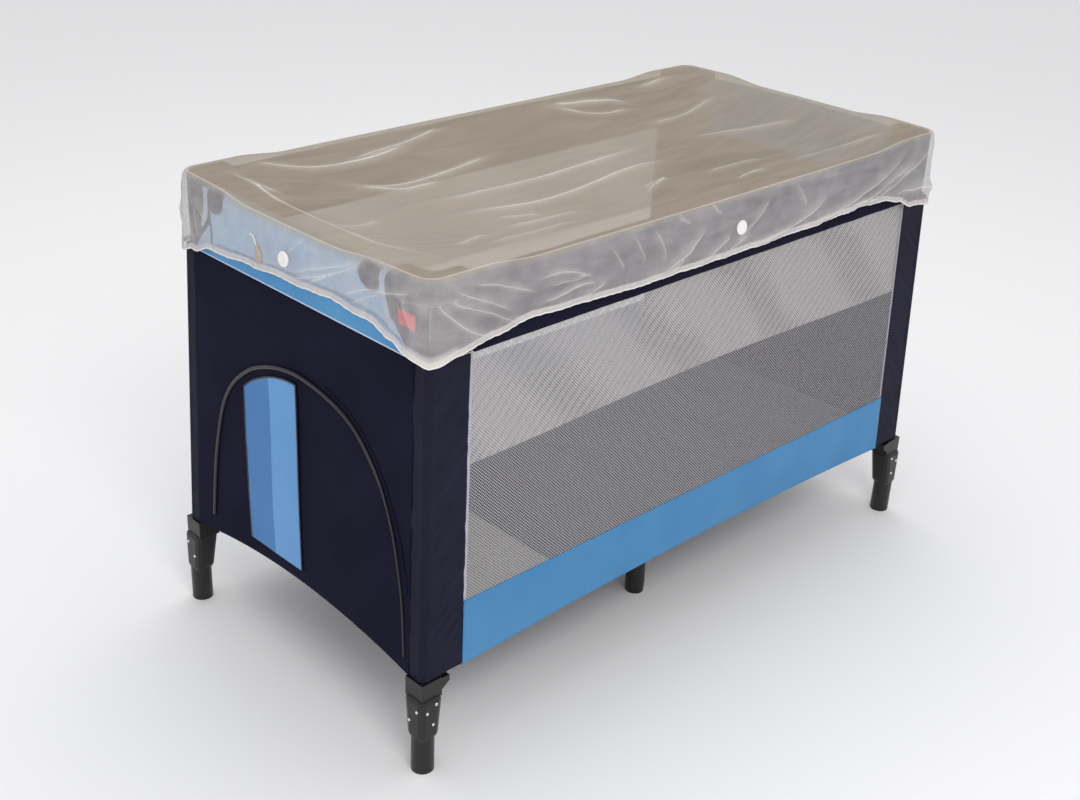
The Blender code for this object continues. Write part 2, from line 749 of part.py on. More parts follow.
def make_pull():
    """The drop-shaped pull of the elastic, beside the stud of the near end."""
    bm = bmesh.new()
    bmesh.ops.create_uvsphere(bm, u_segments=12, v_segments=8, radius=1.0)
    for vertex in bm.verts:
        x, y, z = vertex.co
        narrow = 1.0 if z < 0 else (1 - z) ** 0.8 * 0.95 + 0.12
        vertex.co = (y * 0.0085 * narrow, z * (0.022 if z > 0 else 0.011), x * 0.003)
    lean = Matrix.Rotation(math.radians(PULL_LEAN - 90), 4, "Z")
    place = on_skirt(*PULL_PLACE) @ Matrix.Translation((0.0, 0.0, 0.0034)) @ lean
    bmesh.ops.transform(bm, matrix=place, verts=bm.verts)
    mesh = bpy.data.meshes.new("net_pull")
    bm.to_mesh(mesh)
    bm.free()
    pull = add_object("net_pull", mesh, "beige_pull")
    pull.data.shade_smooth()


clear_scene()
CLOTH_AND_COT = bpy.data.collections.new("mosquito_net_on_travel_cot")
JOINED_SHAPES = bpy.data.collections.new("joined_shapes")
bpy.context.scene.collection.children.link(CLOTH_AND_COT)
bpy.context.scene.collection.children.link(JOINED_SHAPES)
MATERIALS = make_materials()
make_rails()
make_caps()
make_posts()
make_sides()
make_ends()
make_floor()
make_feet()
make_net()
make_studs()
make_pull()
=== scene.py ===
# %% [markdown]
# # A mosquito net on a travel cot
#
# The lesson builds the looks of one object on top of its finished frame: a fine net with an elastic
# hem, pulled over the open rim of a folding travel cot. The frame gives each solid its place and its
# size. Here each cloth gets its folds, its seams and its weave, and each hard part its real finish.

import math

import bmesh
import bpy
import numpy as np
from mathutils import Matrix, Vector


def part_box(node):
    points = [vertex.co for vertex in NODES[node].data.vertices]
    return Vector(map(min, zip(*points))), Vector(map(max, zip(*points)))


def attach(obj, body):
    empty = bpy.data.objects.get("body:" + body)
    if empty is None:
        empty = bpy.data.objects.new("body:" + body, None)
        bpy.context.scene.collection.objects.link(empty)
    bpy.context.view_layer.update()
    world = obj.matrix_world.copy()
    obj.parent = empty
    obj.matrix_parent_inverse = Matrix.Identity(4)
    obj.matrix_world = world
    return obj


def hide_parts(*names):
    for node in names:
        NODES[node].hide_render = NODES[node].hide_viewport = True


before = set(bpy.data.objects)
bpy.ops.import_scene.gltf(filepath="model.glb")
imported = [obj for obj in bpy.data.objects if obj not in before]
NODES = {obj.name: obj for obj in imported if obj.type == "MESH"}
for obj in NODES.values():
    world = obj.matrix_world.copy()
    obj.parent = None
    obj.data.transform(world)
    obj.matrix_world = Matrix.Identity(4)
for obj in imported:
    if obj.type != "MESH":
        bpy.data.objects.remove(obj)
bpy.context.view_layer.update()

# %% [markdown]
# ## Measures
#
# The sizes are those of the frame, in metres. The near end of the cot is at -X and its front at -Y,
# and the cot stands a little wider at its feet than at its rim.

# %% Measures of the cot and the net
RIM_LENGTH = 1.243
RIM_WIDTH = 0.625
HALF_LENGTH = RIM_LENGTH / 2
HALF_WIDTH = RIM_WIDTH / 2
RAIL_TOP = 0.8085
RAIL_FOOT = 0.693
RAIL_THICK = 0.034
CAP_ARM = 0.085
END_BOW = 0.011
SIDE_BOW = 0.004
POST_SIZE = 0.032
POST_RADIUS = 0.012
FLAP_REACH = 0.078
PANEL_FOOT = 0.170
PANEL_RISE = 0.031
BAND_RISE = 0.014
BAND_TOP = 0.2845
SPLAY_X = 0.030
SPLAY_Y = 0.048
SPLAY_FROM = 0.69
SPLAY_DEPTH = 0.55
NET_HALF_LENGTH = HALF_LENGTH + 0.0037
NET_HALF_WIDTH = HALF_WIDTH + 0.0037
NET_RADIUS = 0.031
NET_RIDGE_RADIUS = 0.008
NET_SAG = 0.052
NET_FLARE = 0.007
NET_EDGE_REST = 0.046
NET_ON_RAIL = 0.8105
NET_ON_CAP = 0.8185
CAP_TO_RAIL_START = 0.110
CAP_TO_RAIL_RUN = 0.100
SKIRT_DROP = 0.095
ROUND_THE_RIM = 4 * (NET_HALF_LENGTH + NET_HALF_WIDTH)
SIDES = {"near": -1, "far": 1}
FACES = {"front": -1, "back": 1}
print("net:", round(2 * NET_HALF_LENGTH, 3), "by", round(2 * NET_HALF_WIDTH, 3), "m at its rim")

# %% [markdown]
# ## Small helpers
#
# Colours are written as sRGB hex values and turned into the linear values that a shader takes. One
# function adds a node with its settings and links, and another one puts a finished mesh in the scene.


# %% Helpers for colours, nodes and objects
def linear(hex_colour):
    """An sRGB hex colour as linear values with alpha."""
    channels = [int(hex_colour[i : i + 2], 16) / 255 for i in (1, 3, 5)]
    return [c / 12.92 if c <= 0.04045 else ((c + 0.055) / 1.055) ** 2.4 for c in channels] + [1.0]


def add_node(tree, kind, settings=None, links=None):
    """Add a shader node. A capital or a number names an input, anything else a property."""
    node = tree.nodes.new(kind)
    for name, value in (settings or {}).items():
        if isinstance(name, int) or name[0].isupper():
            node.inputs[name].default_value = value
        else:
            setattr(node, name, value)
    for name, socket in (links or {}).items():
        tree.links.new(socket, node.inputs[name])
    return node


def start_material(name, colour, roughness, metallic=0.0):
    """A Principled material with constant values, and its node tree and shader."""
    material = bpy.data.materials.new(name)
    material.use_nodes = True
    shader = material.node_tree.nodes["Principled BSDF"]
    shader.inputs["Base Color"].default_value = linear(colour)
    shader.inputs["Roughness"].default_value = roughness
    shader.inputs["Metallic"].default_value = metallic
    material.diffuse_color = linear(colour)
    return material, material.node_tree, shader


def smoothstep(value):
    """0 below 0, 1 above 1 and a smooth rise between."""
    value = np.clip(value, 0.0, 1.0)
    return value * value * (3 - 2 * value)


def show(name, mesh, material, smooth=True):
    """Put a mesh in the scene as a piece of the cot's one body."""
    mesh.materials.clear()
    mesh.materials.append(material)
    if smooth:
        mesh.shade_smooth()
    obj = bpy.data.objects.new(name, mesh)
    bpy.context.scene.collection.objects.link(obj)
    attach(obj, "root")
    return obj


def thicken(obj, thickness, offset=-1.0):
    """Give a single sheet its cloth thickness."""
    wall = obj.modifiers.new("cloth thickness", "SOLIDIFY")
    wall.thickness = thickness
    wall.offset = offset
    return obj


# %% [markdown]
# ## Sheets and tubes from a grid
#
# Nearly every cloth here starts as one even grid, as cloth comes off the roll. A rule then gives each
# point of the grid its place, and a tube is the same grid with two of its edges welded together.


# %% Helpers that shape a grid
def coordinates(mesh):
    """The mesh's points as an array of rows."""
    flat = np.empty(len(mesh.vertices) * 3)
    mesh.vertices.foreach_get("co", flat)
    return flat.reshape(-1, 3)


def set_coordinates(mesh, points):
    """Write an array of rows back as the mesh's points."""
    mesh.vertices.foreach_set("co", np.ascontiguousarray(points, dtype=float).reshape(-1))
    mesh.update()


def grid(name, across, along, rule, weld=False, cap=False, facing=None):
    """A grid whose points a rule places from u and v, each from 0 to 1."""
    bm = bmesh.new()
    bmesh.ops.create_grid(bm, x_segments=across, y_segments=along, size=0.5)
    mesh = bpy.data.meshes.new(name)
    bm.to_mesh(mesh)
    bm.free()
    flat = coordinates(mesh)
    set_coordinates(mesh, np.stack(rule(flat[:, 0] + 0.5, flat[:, 1] + 0.5), axis=1))
    bm = bmesh.new()
    bm.from_mesh(mesh)
    if weld:
        bmesh.ops.remove_doubles(bm, verts=bm.verts, dist=0.000002)
    if cap:
        bmesh.ops.holes_fill(bm, edges=[edge for edge in bm.edges if edge.is_boundary])
    if weld:
        bmesh.ops.recalc_face_normals(bm, faces=bm.faces)
    if facing:
        bm.normal_update()
        total = sum((face.normal * face.calc_area() for face in bm.faces), Vector())
        if total.dot(Vector(facing)) < 0:
            bmesh.ops.reverse_faces(bm, faces=bm.faces)
    bm.to_mesh(mesh)
    bm.free()
    return mesh


def along_path(path, share, closed=False):
    """Places on a path of points at shares of its length."""
    path = np.asarray(path, dtype=float)
    if closed:
        path = np.vstack([path, path[:1]])
    steps = np.linalg.norm(np.diff(path, axis=0), axis=1)
    reached = np.concatenate([[0.0], np.cumsum(steps)])
    wanted = share * reached[-1]
    return np.stack([np.interp(wanted, reached, path[:, i]) for i in range(path.shape[1])], axis=-1)


def rounded(points, times=2, closed=False):
    """A path with its corners cut off again and again."""
    points = np.asarray(points, dtype=float)
    for _ in range(times):
        following = np.roll(points, -1, axis=0) if closed else points[1:]
        leading = points if closed else points[:-1]
        cut = np.empty((2 * len(leading), points.shape[1]))
        cut[0::2] = leading * 0.75 + following * 0.25
        cut[1::2] = leading * 0.25 + following * 0.75
        points = cut if closed else np.vstack([points[:1], cut, points[-1:]])
    return points


def tube(name, path, radius, sides=8, steps=None, closed=False, flatten=1.0, up=(0.0, 0.0, 1.0)):
    """A round cord along a path. It is flattened along the direction named up."""
    steps = steps or len(path)

    def rule(u, v):
        centre = along_path(path, u, closed)
        reach = 0.002
        ahead = along_path(path, (u + reach) % 1 if closed else np.minimum(u + reach, 1), closed)
        behind = along_path(path, (u - reach) % 1 if closed else np.maximum(u - reach, 0), closed)
        run = ahead - behind
        run /= np.linalg.norm(run, axis=1, keepdims=True)
        side = np.cross(run, np.asarray(up))
        side /= np.linalg.norm(side, axis=1, keepdims=True)
        top = np.cross(side, run)
        angle = v * 2 * math.pi
        size = radius(u)[:, None] if callable(radius) else radius
        placed = centre + size * (
            side * np.cos(angle)[:, None] + top * (np.sin(angle) * flatten)[:, None]
        )
        return placed[:, 0], placed[:, 1], placed[:, 2]

    return grid(name, steps, sides, rule, weld=True, cap=not closed)


def uneven(x, y, size, seed):
    """Smooth chance heights from -1 to 1 over a plane, in bumps about as large as size."""
    table = np.random.default_rng(seed).uniform(-1, 1, (64, 64))
    x = np.asarray(x) / size + 17.3
    y = np.asarray(y) / size + 23.1
    i = np.floor(x).astype(int)
    j = np.floor(y).astype(int)
    s = smoothstep(x - i)
    t = smoothstep(y - j)
    low = table[i % 64, j % 64] * (1 - s) + table[(i + 1) % 64, j % 64] * s
    high = table[i % 64, (j + 1) % 64] * (1 - s) + table[(i + 1) % 64, (j + 1) % 64] * s
    return low * (1 - t) + high * t


def crease_line(x, y, points, half_width):
    """Height of a crease, 1 on its line and fading at its ends, and the distance to either side."""
    path = rounded(points, 2)
    nearest = np.full(np.shape(x), 1e9)
    share = np.zeros(np.shape(x))
    side = np.ones(np.shape(x))
    lengths = np.linalg.norm(np.diff(path, axis=0), axis=1)
    reached = np.concatenate([[0.0], np.cumsum(lengths)]) / lengths.sum()
    for i in range(len(path) - 1):
        run = path[i + 1] - path[i]
        from_x, from_y = x - path[i, 0], y - path[i, 1]
        part = np.clip((from_x * run[0] + from_y * run[1]) / (run @ run), 0, 1)
        away = np.hypot(from_x - part * run[0], from_y - part * run[1])
        closer = away < nearest
        nearest = np.where(closer, away, nearest)
        share = np.where(closer, reached[i] + (reached[i + 1] - reached[i]) * part, share)
        side = np.where(closer, np.sign(from_x * run[1] - from_y * run[0]), side)
    ends = smoothstep(share / 0.25) * smoothstep((1 - share) / 0.25)
    return np.exp(-((nearest / half_width) ** 2)) * (0.10 + 0.90 * ends), nearest * side


def splayed(x, y, z):
    """Move points of the cot's lower part outwards, by more the lower they are."""
    drop = np.maximum(SPLAY_FROM - z, 0.0) / SPLAY_DEPTH
    return x * (1 + SPLAY_X * drop), y * (1 + SPLAY_Y * drop), z


# %% [markdown]
# ## Materials
#
# Each material is named for the real finish, save the mattress's paler grey, which is painted light.
# Cloth patterns are drawn from Object coordinates, which are metres here, so that a thread keeps its size
# wherever it lies.


# %% Woven and moulded materials
def woven(name, colour, lighter, roughness, thread=0.0022, depth=0.35, sheen=0.05, gloss=0.3):
    """Plain-woven synthetic cloth, piece-dyed. The threads are drawn some four times too coarse."""
    material, tree, shader = start_material(name, colour, roughness)
    place = add_node(tree, "ShaderNodeTexCoord").outputs["Object"]
    across = {"wave_type": "BANDS", "bands_direction": "DIAGONAL", "Scale": 0.314 / thread}
    warp = add_node(tree, "ShaderNodeTexWave", across, {"Vector": place})
    turned = add_node(tree, "ShaderNodeMapping", {"Rotation": (0.0, math.pi, 0.0)}, {"Vector": place})
    weft = add_node(tree, "ShaderNodeTexWave", across, {"Vector": turned.outputs[0]})
    threads = add_node(
        tree,
        "ShaderNodeMath",
        {"operation": "MAXIMUM"},
        {0: warp.outputs["Fac"], 1: weft.outputs["Fac"]},
    )
    worn = add_node(tree, "ShaderNodeTexNoise", {"Scale": 9.0, "Detail": 3.0}, {"Vector": place})
    share = add_node(
        tree,
        "ShaderNodeMapRange",
        {"From Min": 0.35, "From Max": 0.7, "To Min": 0.0, "To Max": 0.5},
        {"Value": worn.outputs["Fac"]},
    )
    tone = add_node(
        tree,
        "ShaderNodeMix",
        {"data_type": "RGBA", 6: linear(colour), 7: linear(lighter)},
        {0: share.outputs["Result"]},
    )
    bump = add_node(
        tree,
        "ShaderNodeBump",
        {"Strength": depth, "Distance": 0.0004},
        {"Height": threads.outputs[0]},
    )
    tree.links.new(tone.outputs[2], shader.inputs["Base Color"])
    tree.links.new(bump.outputs["Normal"], shader.inputs["Normal"])
    shader.inputs["Sheen Weight"].default_value = sheen
    shader.inputs["Specular IOR Level"].default_value = gloss
    return material


def moulded(name, colour, roughness, grain=900.0, depth=0.12, metallic=0.0):
    """Injection-moulded plastic or pressed metal, with the fine grain of its tool."""
    material, tree, shader = start_material(name, colour, roughness, metallic)
    place = add_node(tree, "ShaderNodeTexCoord").outputs["Object"]
    noise = add_node(tree, "ShaderNodeTexNoise", {"Scale": grain, "Detail": 2.0}, {"Vector": place})
    smear = add_node(tree, "ShaderNodeTexNoise", {"Scale": 25.0, "Detail": 2.0}, {"Vector": place})
    rough = add_node(
        tree,
        "ShaderNodeMapRange",
        {"To Min": roughness - 0.06, "To Max": roughness + 0.10},
        {"Value": smear.outputs["Fac"]},
    )
    bump = add_node(
        tree, "ShaderNodeBump", {"Strength": depth, "Distance": 0.0002}, {"Height": noise.outputs["Fac"]}
    )
    tree.links.new(rough.outputs["Result"], shader.inputs["Roughness"])
    tree.links.new(bump.outputs["Normal"], shader.inputs["Normal"])
    return material


NAVY = woven("navy_polyester_cloth", "#191829", "#232236", 0.88, sheen=0.0, gloss=0.06)
SLEEVE_NAVY = woven("navy_sleeve_cloth", "#191829", "#242338", 0.6, sheen=0.0, gloss=0.11)
BLUE = woven("blue_polyester_cloth", "#4483b4", "#5590bf", 0.75)
RAIL_BLUE = woven("blue_rail_cover_cloth", "#4b8fc4", "#69a8d6", 0.7)
PALE_BLUE = woven("light_blue_rail_cover_cloth", "#abd0ee", "#bedcf2", 0.7)
FAR_BLUE = woven("mid_blue_rail_cover_cloth", "#6fb6ec", "#86c4f0", 0.7)
BINDING = woven("pale_blue_cotton_binding", "#bcd2ec", "#c9dcf0", 0.8, thread=0.0014)
SEAM_TAPE = woven("pale_lilac_seam_tape", "#c3bfcc", "#d0ccd8", 0.85, thread=0.0014)
RED_PATCH = woven("plain_red_patch_cloth", "#ff3038", "#ff444a", 0.6)
WINDOW_DARK = woven("mid_blue_window_cloth", "#4077b2", "#4c86be", 0.6, thread=0.0030)
WINDOW_LIGHT = woven("light_blue_window_cloth", "#5f97cf", "#6fa4d6", 0.6, thread=0.0030)
MATTRESS_CLOTH = woven("grey_quilted_mattress_cloth", "#4f4d52", "#5d5b60", 0.9)
# The paler grey is painted light on the mattress's first section.
MATTRESS_PAINTED_LIGHT = woven("mattress_cloth_painted_light", "#a8a49c", "#b8b4ac", 0.9)
PIPING = moulded("black_coated_piping", "#141319", 0.35)
BLACK = moulded("black_moulded_nylon", "#101012", 0.34)
GREY_CAP = moulded("grey_moulded_corner_cap", "#3b3a40", 0.5)
STEEL = moulded("bright_steel_rivet", "#d9d9dc", 0.22, metallic=1.0)
WHITE = moulded("white_moulded_stud", "#f1efec", 0.32)
BEIGE = moulded("beige_moulded_pull", "#b3a592", 0.42)
HEM_CORD = woven("white_elastic_hem_cord", "#e6e2dd", "#f2efea", 0.8, thread=0.0016)
print("materials:", len(bpy.data.materials))

# %% [markdown]
# ## The sheer net's material
#
# The net is knitted from threads too thin to be drawn one by one, so how much it hides is given as a
# share. It hides more where it is bunched in a fold or turned over in the hem. Four values stored on
# each point of the net say where: gather, for bunched cloth, crease and across, for the strength of
# the nearest crease and the way to its middle line, and level, for the part that faces up.


# %% The net's material
def sheer_net():
    """Knitted polyester tulle: half see-through, whiter where it is gathered."""
    material, tree, shader = start_material("white_polyester_tulle", "#d8d4ce", 0.9)
    place = add_node(tree, "ShaderNodeTexCoord").outputs["Object"]
    gather = add_node(tree, "ShaderNodeAttribute", {"attribute_name": "gather"}).outputs["Fac"]
    level = add_node(tree, "ShaderNodeAttribute", {"attribute_name": "level"}).outputs["Fac"]
    crease = add_node(tree, "ShaderNodeAttribute", {"attribute_name": "crease"}).outputs["Fac"]
    stretched = add_node(
        tree,
        "ShaderNodeMapping",
        {"Scale": (5.0, 26.0, 26.0), "Rotation": (0.0, 0.0, 0.16)},
        {"Vector": place},
    )
    streaks = add_node(
        tree,
        "ShaderNodeTexNoise",
        {"Scale": 1.0, "Detail": 5.0, "Roughness": 0.6, "Distortion": 0.6},
        {"Vector": stretched.outputs[0]},
    )
    knit = add_node(tree, "ShaderNodeTexNoise", {"Scale": 700.0, "Detail": 1.0}, {"Vector": place})
    streak_part = add_node(
        tree,
        "ShaderNodeMapRange",
        {"From Min": 0.3, "From Max": 0.75, "To Min": -0.07, "To Max": 0.13},
        {"Value": streaks.outputs["Fac"]},
    )
    knit_part = add_node(
        tree,
        "ShaderNodeMapRange",
        {"From Min": 0.3, "From Max": 0.7, "To Min": -0.04, "To Max": 0.04},
        {"Value": knit.outputs["Fac"]},
    )
    across = add_node(tree, "ShaderNodeAttribute", {"attribute_name": "across"}).outputs["Fac"]
    away = add_node(tree, "ShaderNodeMath", {"operation": "ABSOLUTE"}, {0: across})
    core = add_node(
        tree,
        "ShaderNodeMapRange",
        {"From Min": 0.0003, "From Max": 0.0024, "To Min": 1.0, "To Max": 0.0},
        {"Value": away.outputs[0]},
    )
    lines = add_node(
        tree, "ShaderNodeMath", {"operation": "MULTIPLY"}, {0: core.outputs["Result"], 1: crease}
    )
    white_share = add_node(
        tree, "ShaderNodeMath", {"operation": "MAXIMUM"}, {0: lines.outputs[0], 1: gather}
    )
    base = add_node(
        tree, "ShaderNodeMapRange", {"To Min": 0.41, "To Max": 0.75}, {"Value": level}
    )
    bunched = add_node(
        tree,
        "ShaderNodeMath",
        {"operation": "MULTIPLY_ADD", 1: 0.5},
        {0: white_share.outputs[0], 2: base.outputs["Result"]},
    )
    marked = add_node(
        tree,
        "ShaderNodeMath",
        {"operation": "ADD"},
        {0: bunched.outputs[0], 1: streak_part.outputs["Result"]},
    )
    cover = add_node(
        tree,
        "ShaderNodeMath",
        {"operation": "ADD", "use_clamp": True},
        {0: marked.outputs[0], 1: knit_part.outputs["Result"]},
    )
    tint = add_node(
        tree,
        "ShaderNodeMix",
        {"data_type": "RGBA", 6: linear("#cbc8c9"), 7: linear("#a4998a")},
        {0: level},
    )
    whiter = add_node(
        tree,
        "ShaderNodeMix",
        {"data_type": "RGBA", 7: linear("#f4f0ea")},
        {0: white_share.outputs[0], 6: tint.outputs[2]},
    )
    bump = add_node(
        tree,
        "ShaderNodeBump",
        {"Strength": 0.10, "Distance": 0.003},
        {"Height": streaks.outputs["Fac"]},
    )
    tree.links.new(cover.outputs[0], shader.inputs["Alpha"])
    tree.links.new(whiter.outputs[2], shader.inputs["Base Color"])
    tree.links.new(bump.outputs["Normal"], shader.inputs["Normal"])
    shader.inputs["Specular IOR Level"].default_value = 0.15
    return material


NET = sheer_net()

# %% [markdown]
# ## The side mesh's material
#
# The sides are knitted mesh with diamond holes. Two families of slanting threads cover part of the
# sheet and the rest is left clear.


# %% The side mesh's material
def open_mesh(name, colour, pitches, thread_share):
    """Knitted mesh with diamond holes, drawn about twice as coarse as it is, a pitch for each slant."""
    material, tree, shader = start_material(name, colour, 0.8)
    place = add_node(tree, "ShaderNodeTexCoord").outputs["Object"]
    parts = add_node(tree, "ShaderNodeSeparateXYZ", links={0: place}).outputs
    threads = []
    for sign, pitch in zip((1.0, -1.0), pitches):
        slant = add_node(
            tree,
            "ShaderNodeMath",
            {"operation": "MULTIPLY_ADD", 1: sign},
            {0: parts["Z"], 2: parts["X"]},
        )
        away = add_node(
            tree,
            "ShaderNodeMath",
            {"operation": "PINGPONG", 1: pitch / 2},
            {0: slant.outputs[0]},
        )
        thread = add_node(
            tree,
            "ShaderNodeMapRange",
            {
                "From Min": pitch * thread_share * 0.6,
                "From Max": pitch * thread_share,
                "To Min": 1.0,
                "To Max": 0.0,
            },
            {"Value": away.outputs[0]},
        )
        threads.append(thread.outputs["Result"])
    cover = add_node(
        tree, "ShaderNodeMath", {"operation": "MAXIMUM"}, {0: threads[0], 1: threads[1]}
    )
    tree.links.new(cover.outputs[0], shader.inputs["Alpha"])
    return material


SIDE_MESH = open_mesh("pale_knitted_side_mesh", "#bab8bc", (0.0055, 0.0055), 0.13)
INNER_MESH = open_mesh("pale_knitted_inner_mesh", "#d8d3cf", (0.0054, 0.0044), 0.23)
print("net and mesh materials ready")

# %% [markdown]
# ## The padded rails
#
# A folding travel cot has steel tubes inside. Each rail is padded and sewn into a cloth cover, which
# tapers to a flat seam below.


# %% Padded rail covers
def rail_section():
    """Outline of a rail cover across its length, from the outer foot round the top: inset, height."""
    radius = RAIL_THICK / 2
    height = RAIL_TOP - RAIL_FOOT
    top = [
        (radius - radius * math.cos(angle), RAIL_TOP - radius + radius * math.sin(angle))
        for angle in np.linspace(0, math.pi, 17)
    ]
    outline = [(0.0, RAIL_FOOT), (0.0, RAIL_FOOT + height * 0.4)] + top
    outline += [(RAIL_THICK, RAIL_TOP - radius * 1.5), (0.012, RAIL_FOOT + height * 0.35)]
    return outline + [(0.007, RAIL_FOOT)]


def rail_cover(name, half, out, along_x, bow, material, seed):
    """One padded rail cover with shallow tucks, from its section and its bow."""
    section = rail_section()

    def rule(u, v):
        spot = along_path(section, v, closed=True)
        inset, z = spot[:, 0], spot[:, 1]
        along = (u * 2 - 1) * half
        lift = (z - RAIL_FOOT) / (RAIL_TOP - RAIL_FOOT)
        tucks = uneven(along + 0.3 * z, z * 1.2, 0.016, seed) * 0.5 + uneven(along, z, 0.05, seed + 1)
        inset = inset + 0.0007 * (1 + tucks) * np.where(inset < RAIL_THICK / 2, 1, -1)
        z = z - 0.0006 * (1 + tucks) * smoothstep((lift - 0.85) / 0.15)
        across = out * ((HALF_WIDTH if along_x else HALF_LENGTH) - inset)
        across = across + out * lift * bow * np.maximum(1 - (along / half) ** 2, 0)
        return (along, across, z) if along_x else (across, along, z)

    steps = int(half / 0.003)
    mesh = grid(name, steps, 56, rule, weld=True, cap=True)
    return show(name, mesh, material)


for face, out in FACES.items():
    half = HALF_LENGTH - CAP_ARM - 0.0003
    rail_cover("rail_cover_" + face, half, out, True, SIDE_BOW, NAVY, 3)
    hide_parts("rail_" + face)
for end, out in SIDES.items():
    half = HALF_WIDTH - CAP_ARM - 0.0003
    blue = PALE_BLUE if end == "near" else FAR_BLUE
    rail_cover(
        "rail_cover_" + end, half, out, False, END_BOW, blue, 5
    )
    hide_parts("rail_" + end)

# %% [markdown]
# ## Trims of the near rail
#
# A darker blue strip runs along the foot of the near rail, with a pale binding on its lower edge. At
# both ends of the rail a dark tab and a curved pale binding lie beside the corner cap, and a plain red
# patch sits on the front cap. They show through the net.


# %% Strip, tabs, bindings and patch of the near rail
def near_face(y, z, lift):
    """A place on the near rail's outer face, or a little in front of it."""
    half = HALF_WIDTH - CAP_ARM
    radius = RAIL_THICK / 2
    over = np.clip(z - (RAIL_TOP - radius), 0, radius * 0.98)
    inset = (radius - np.sqrt(radius**2 - over**2)) * (1 - smoothstep((np.abs(y) - half + 0.006) / 0.008))
    height = (z - RAIL_FOOT) / (RAIL_TOP - RAIL_FOOT)
    bow = END_BOW * height * np.maximum(1 - (y / half) ** 2, 0)
    return -(HALF_LENGTH - inset + bow + lift), y, z


def near_patch(name, left, right, lift, material, flat):
    """A flat trim on the near rail between two edges, each a path of Y and Z from top to foot."""

    def rule(u, v):
        a = along_path(rounded(left), 1 - v)
        b = along_path(rounded(right), 1 - v)
        return near_face(a[:, 0] * (1 - u) + b[:, 0] * u, a[:, 1] * (1 - u) + b[:, 1] * u, lift)

    patch = thicken(
        show(name, grid(name, 24, 36, rule, facing=(-1, 0, 0)), material), 0.0006
    )
    return patch


STRIP_END = 0.270
STRIP_TOP = [
    (-0.270, 0.7020), (-0.250, 0.7170), (-0.200, 0.7335), (-0.120, 0.7395), (0.0, 0.7340),
    (0.080, 0.7285), (0.200, 0.7185), (0.270, 0.7000),
]  # fmt: skip
TAB = (
    [(-0.1680, 0.8075), (-0.1630, 0.7950), (-0.1660, 0.7820), (-0.1780, 0.7710), (-0.1900, 0.7695)],
    [(-0.2065, 0.8075), (-0.2075, 0.7950), (-0.2075, 0.7830), (-0.2035, 0.7740), (-0.1960, 0.7695)],
)
CURVE = (
    [(-0.2065, 0.8075), (-0.2085, 0.7900), (-0.2080, 0.7720), (-0.2120, 0.7550), (-0.2240, 0.7390)],
    [(-0.2200, 0.8075), (-0.2190, 0.7900), (-0.2215, 0.7690), (-0.2300, 0.7430), (-0.2335, 0.7390)],
)
CAP_EDGE = (
    CURVE[1],
    [(-0.2330, 0.8075), (-0.2330, 0.7900), (-0.2330, 0.7690), (-0.2360, 0.7430), (-0.2365, 0.7390)],
)
CORNER = (
    [(-0.2262, 0.7450), (-0.2262, 0.7200), (-0.2262, 0.7000)],
    [(-0.2305, 0.7445), (-0.2527, 0.7207), (-0.2680, 0.7020)],
)
RED = (
    [(-0.2472, 0.7616), (-0.2480, 0.7500), (-0.2492, 0.7391)],
    [(-0.2865, 0.7612), (-0.2857, 0.7490), (-0.2848, 0.7377)],
)


def strip_rule(u, v):
    """The darker strip, from the rail's foot up to the net's hem."""
    y = (u * 2 - 1) * STRIP_END
    top = np.interp(y, [row[0] for row in STRIP_TOP], [row[1] for row in STRIP_TOP])
    return near_face(y, RAIL_FOOT + 0.0004 + (top - RAIL_FOOT - 0.0004) * v, 0.0020)


strip_mesh = grid("near_rail_strip", 160, 14, strip_rule, facing=(-1, 0, 0))
near_strip = thicken(show("near_rail_strip", strip_mesh, RAIL_BLUE), 0.0006)
edge_places = np.linspace(-STRIP_END, STRIP_END, 80)
edge_path = np.stack(near_face(edge_places, np.full(80, RAIL_FOOT + 0.0014), 0.0020), axis=1)
edge_mesh = tube("near_rail_binding", edge_path, 0.0014, sides=8, steps=120, up=(-1.0, 0.0, 0.0))
show("near_rail_binding", edge_mesh, BINDING)
# The left tab and curve lie farther out than a mirror image of the right ones
LEFT_SHIFT = 0.020
for side, turn in (("front", 1), ("back", -1)):
    for name, pair, lift, material, flat in (
        ("rail_tab", TAB, 0.0017, NAVY, (0.036, 0.036)),
        ("rail_curve", CURVE, 0.0022, BINDING, (0.0120, 0.069)),
        ("cap_edge", CAP_EDGE, 0.0019, NAVY, (0.0110, 0.069)),
        ("rail_corner", CORNER, 0.0012, PALE_BLUE, (0.0240, 0.043)),
    ):
        shift = LEFT_SHIFT if turn < 0 and name in ("rail_tab", "rail_curve") else 0.0
        if name == "cap_edge" and turn < 0:
            continue
        edges = [[(turn * y + shift, z) for y, z in path] for path in pair]
        near_patch(f"{name}_near_{side}", *edges, lift, material, flat)
near_patch("red_patch", *RED, 0.0016, RED_PATCH, (0.0375, 0.023))

# %% [markdown]
# ## The post sleeves
#
# Each post wears a navy sleeve, which ends in the flap that is sewn to the side's mesh.


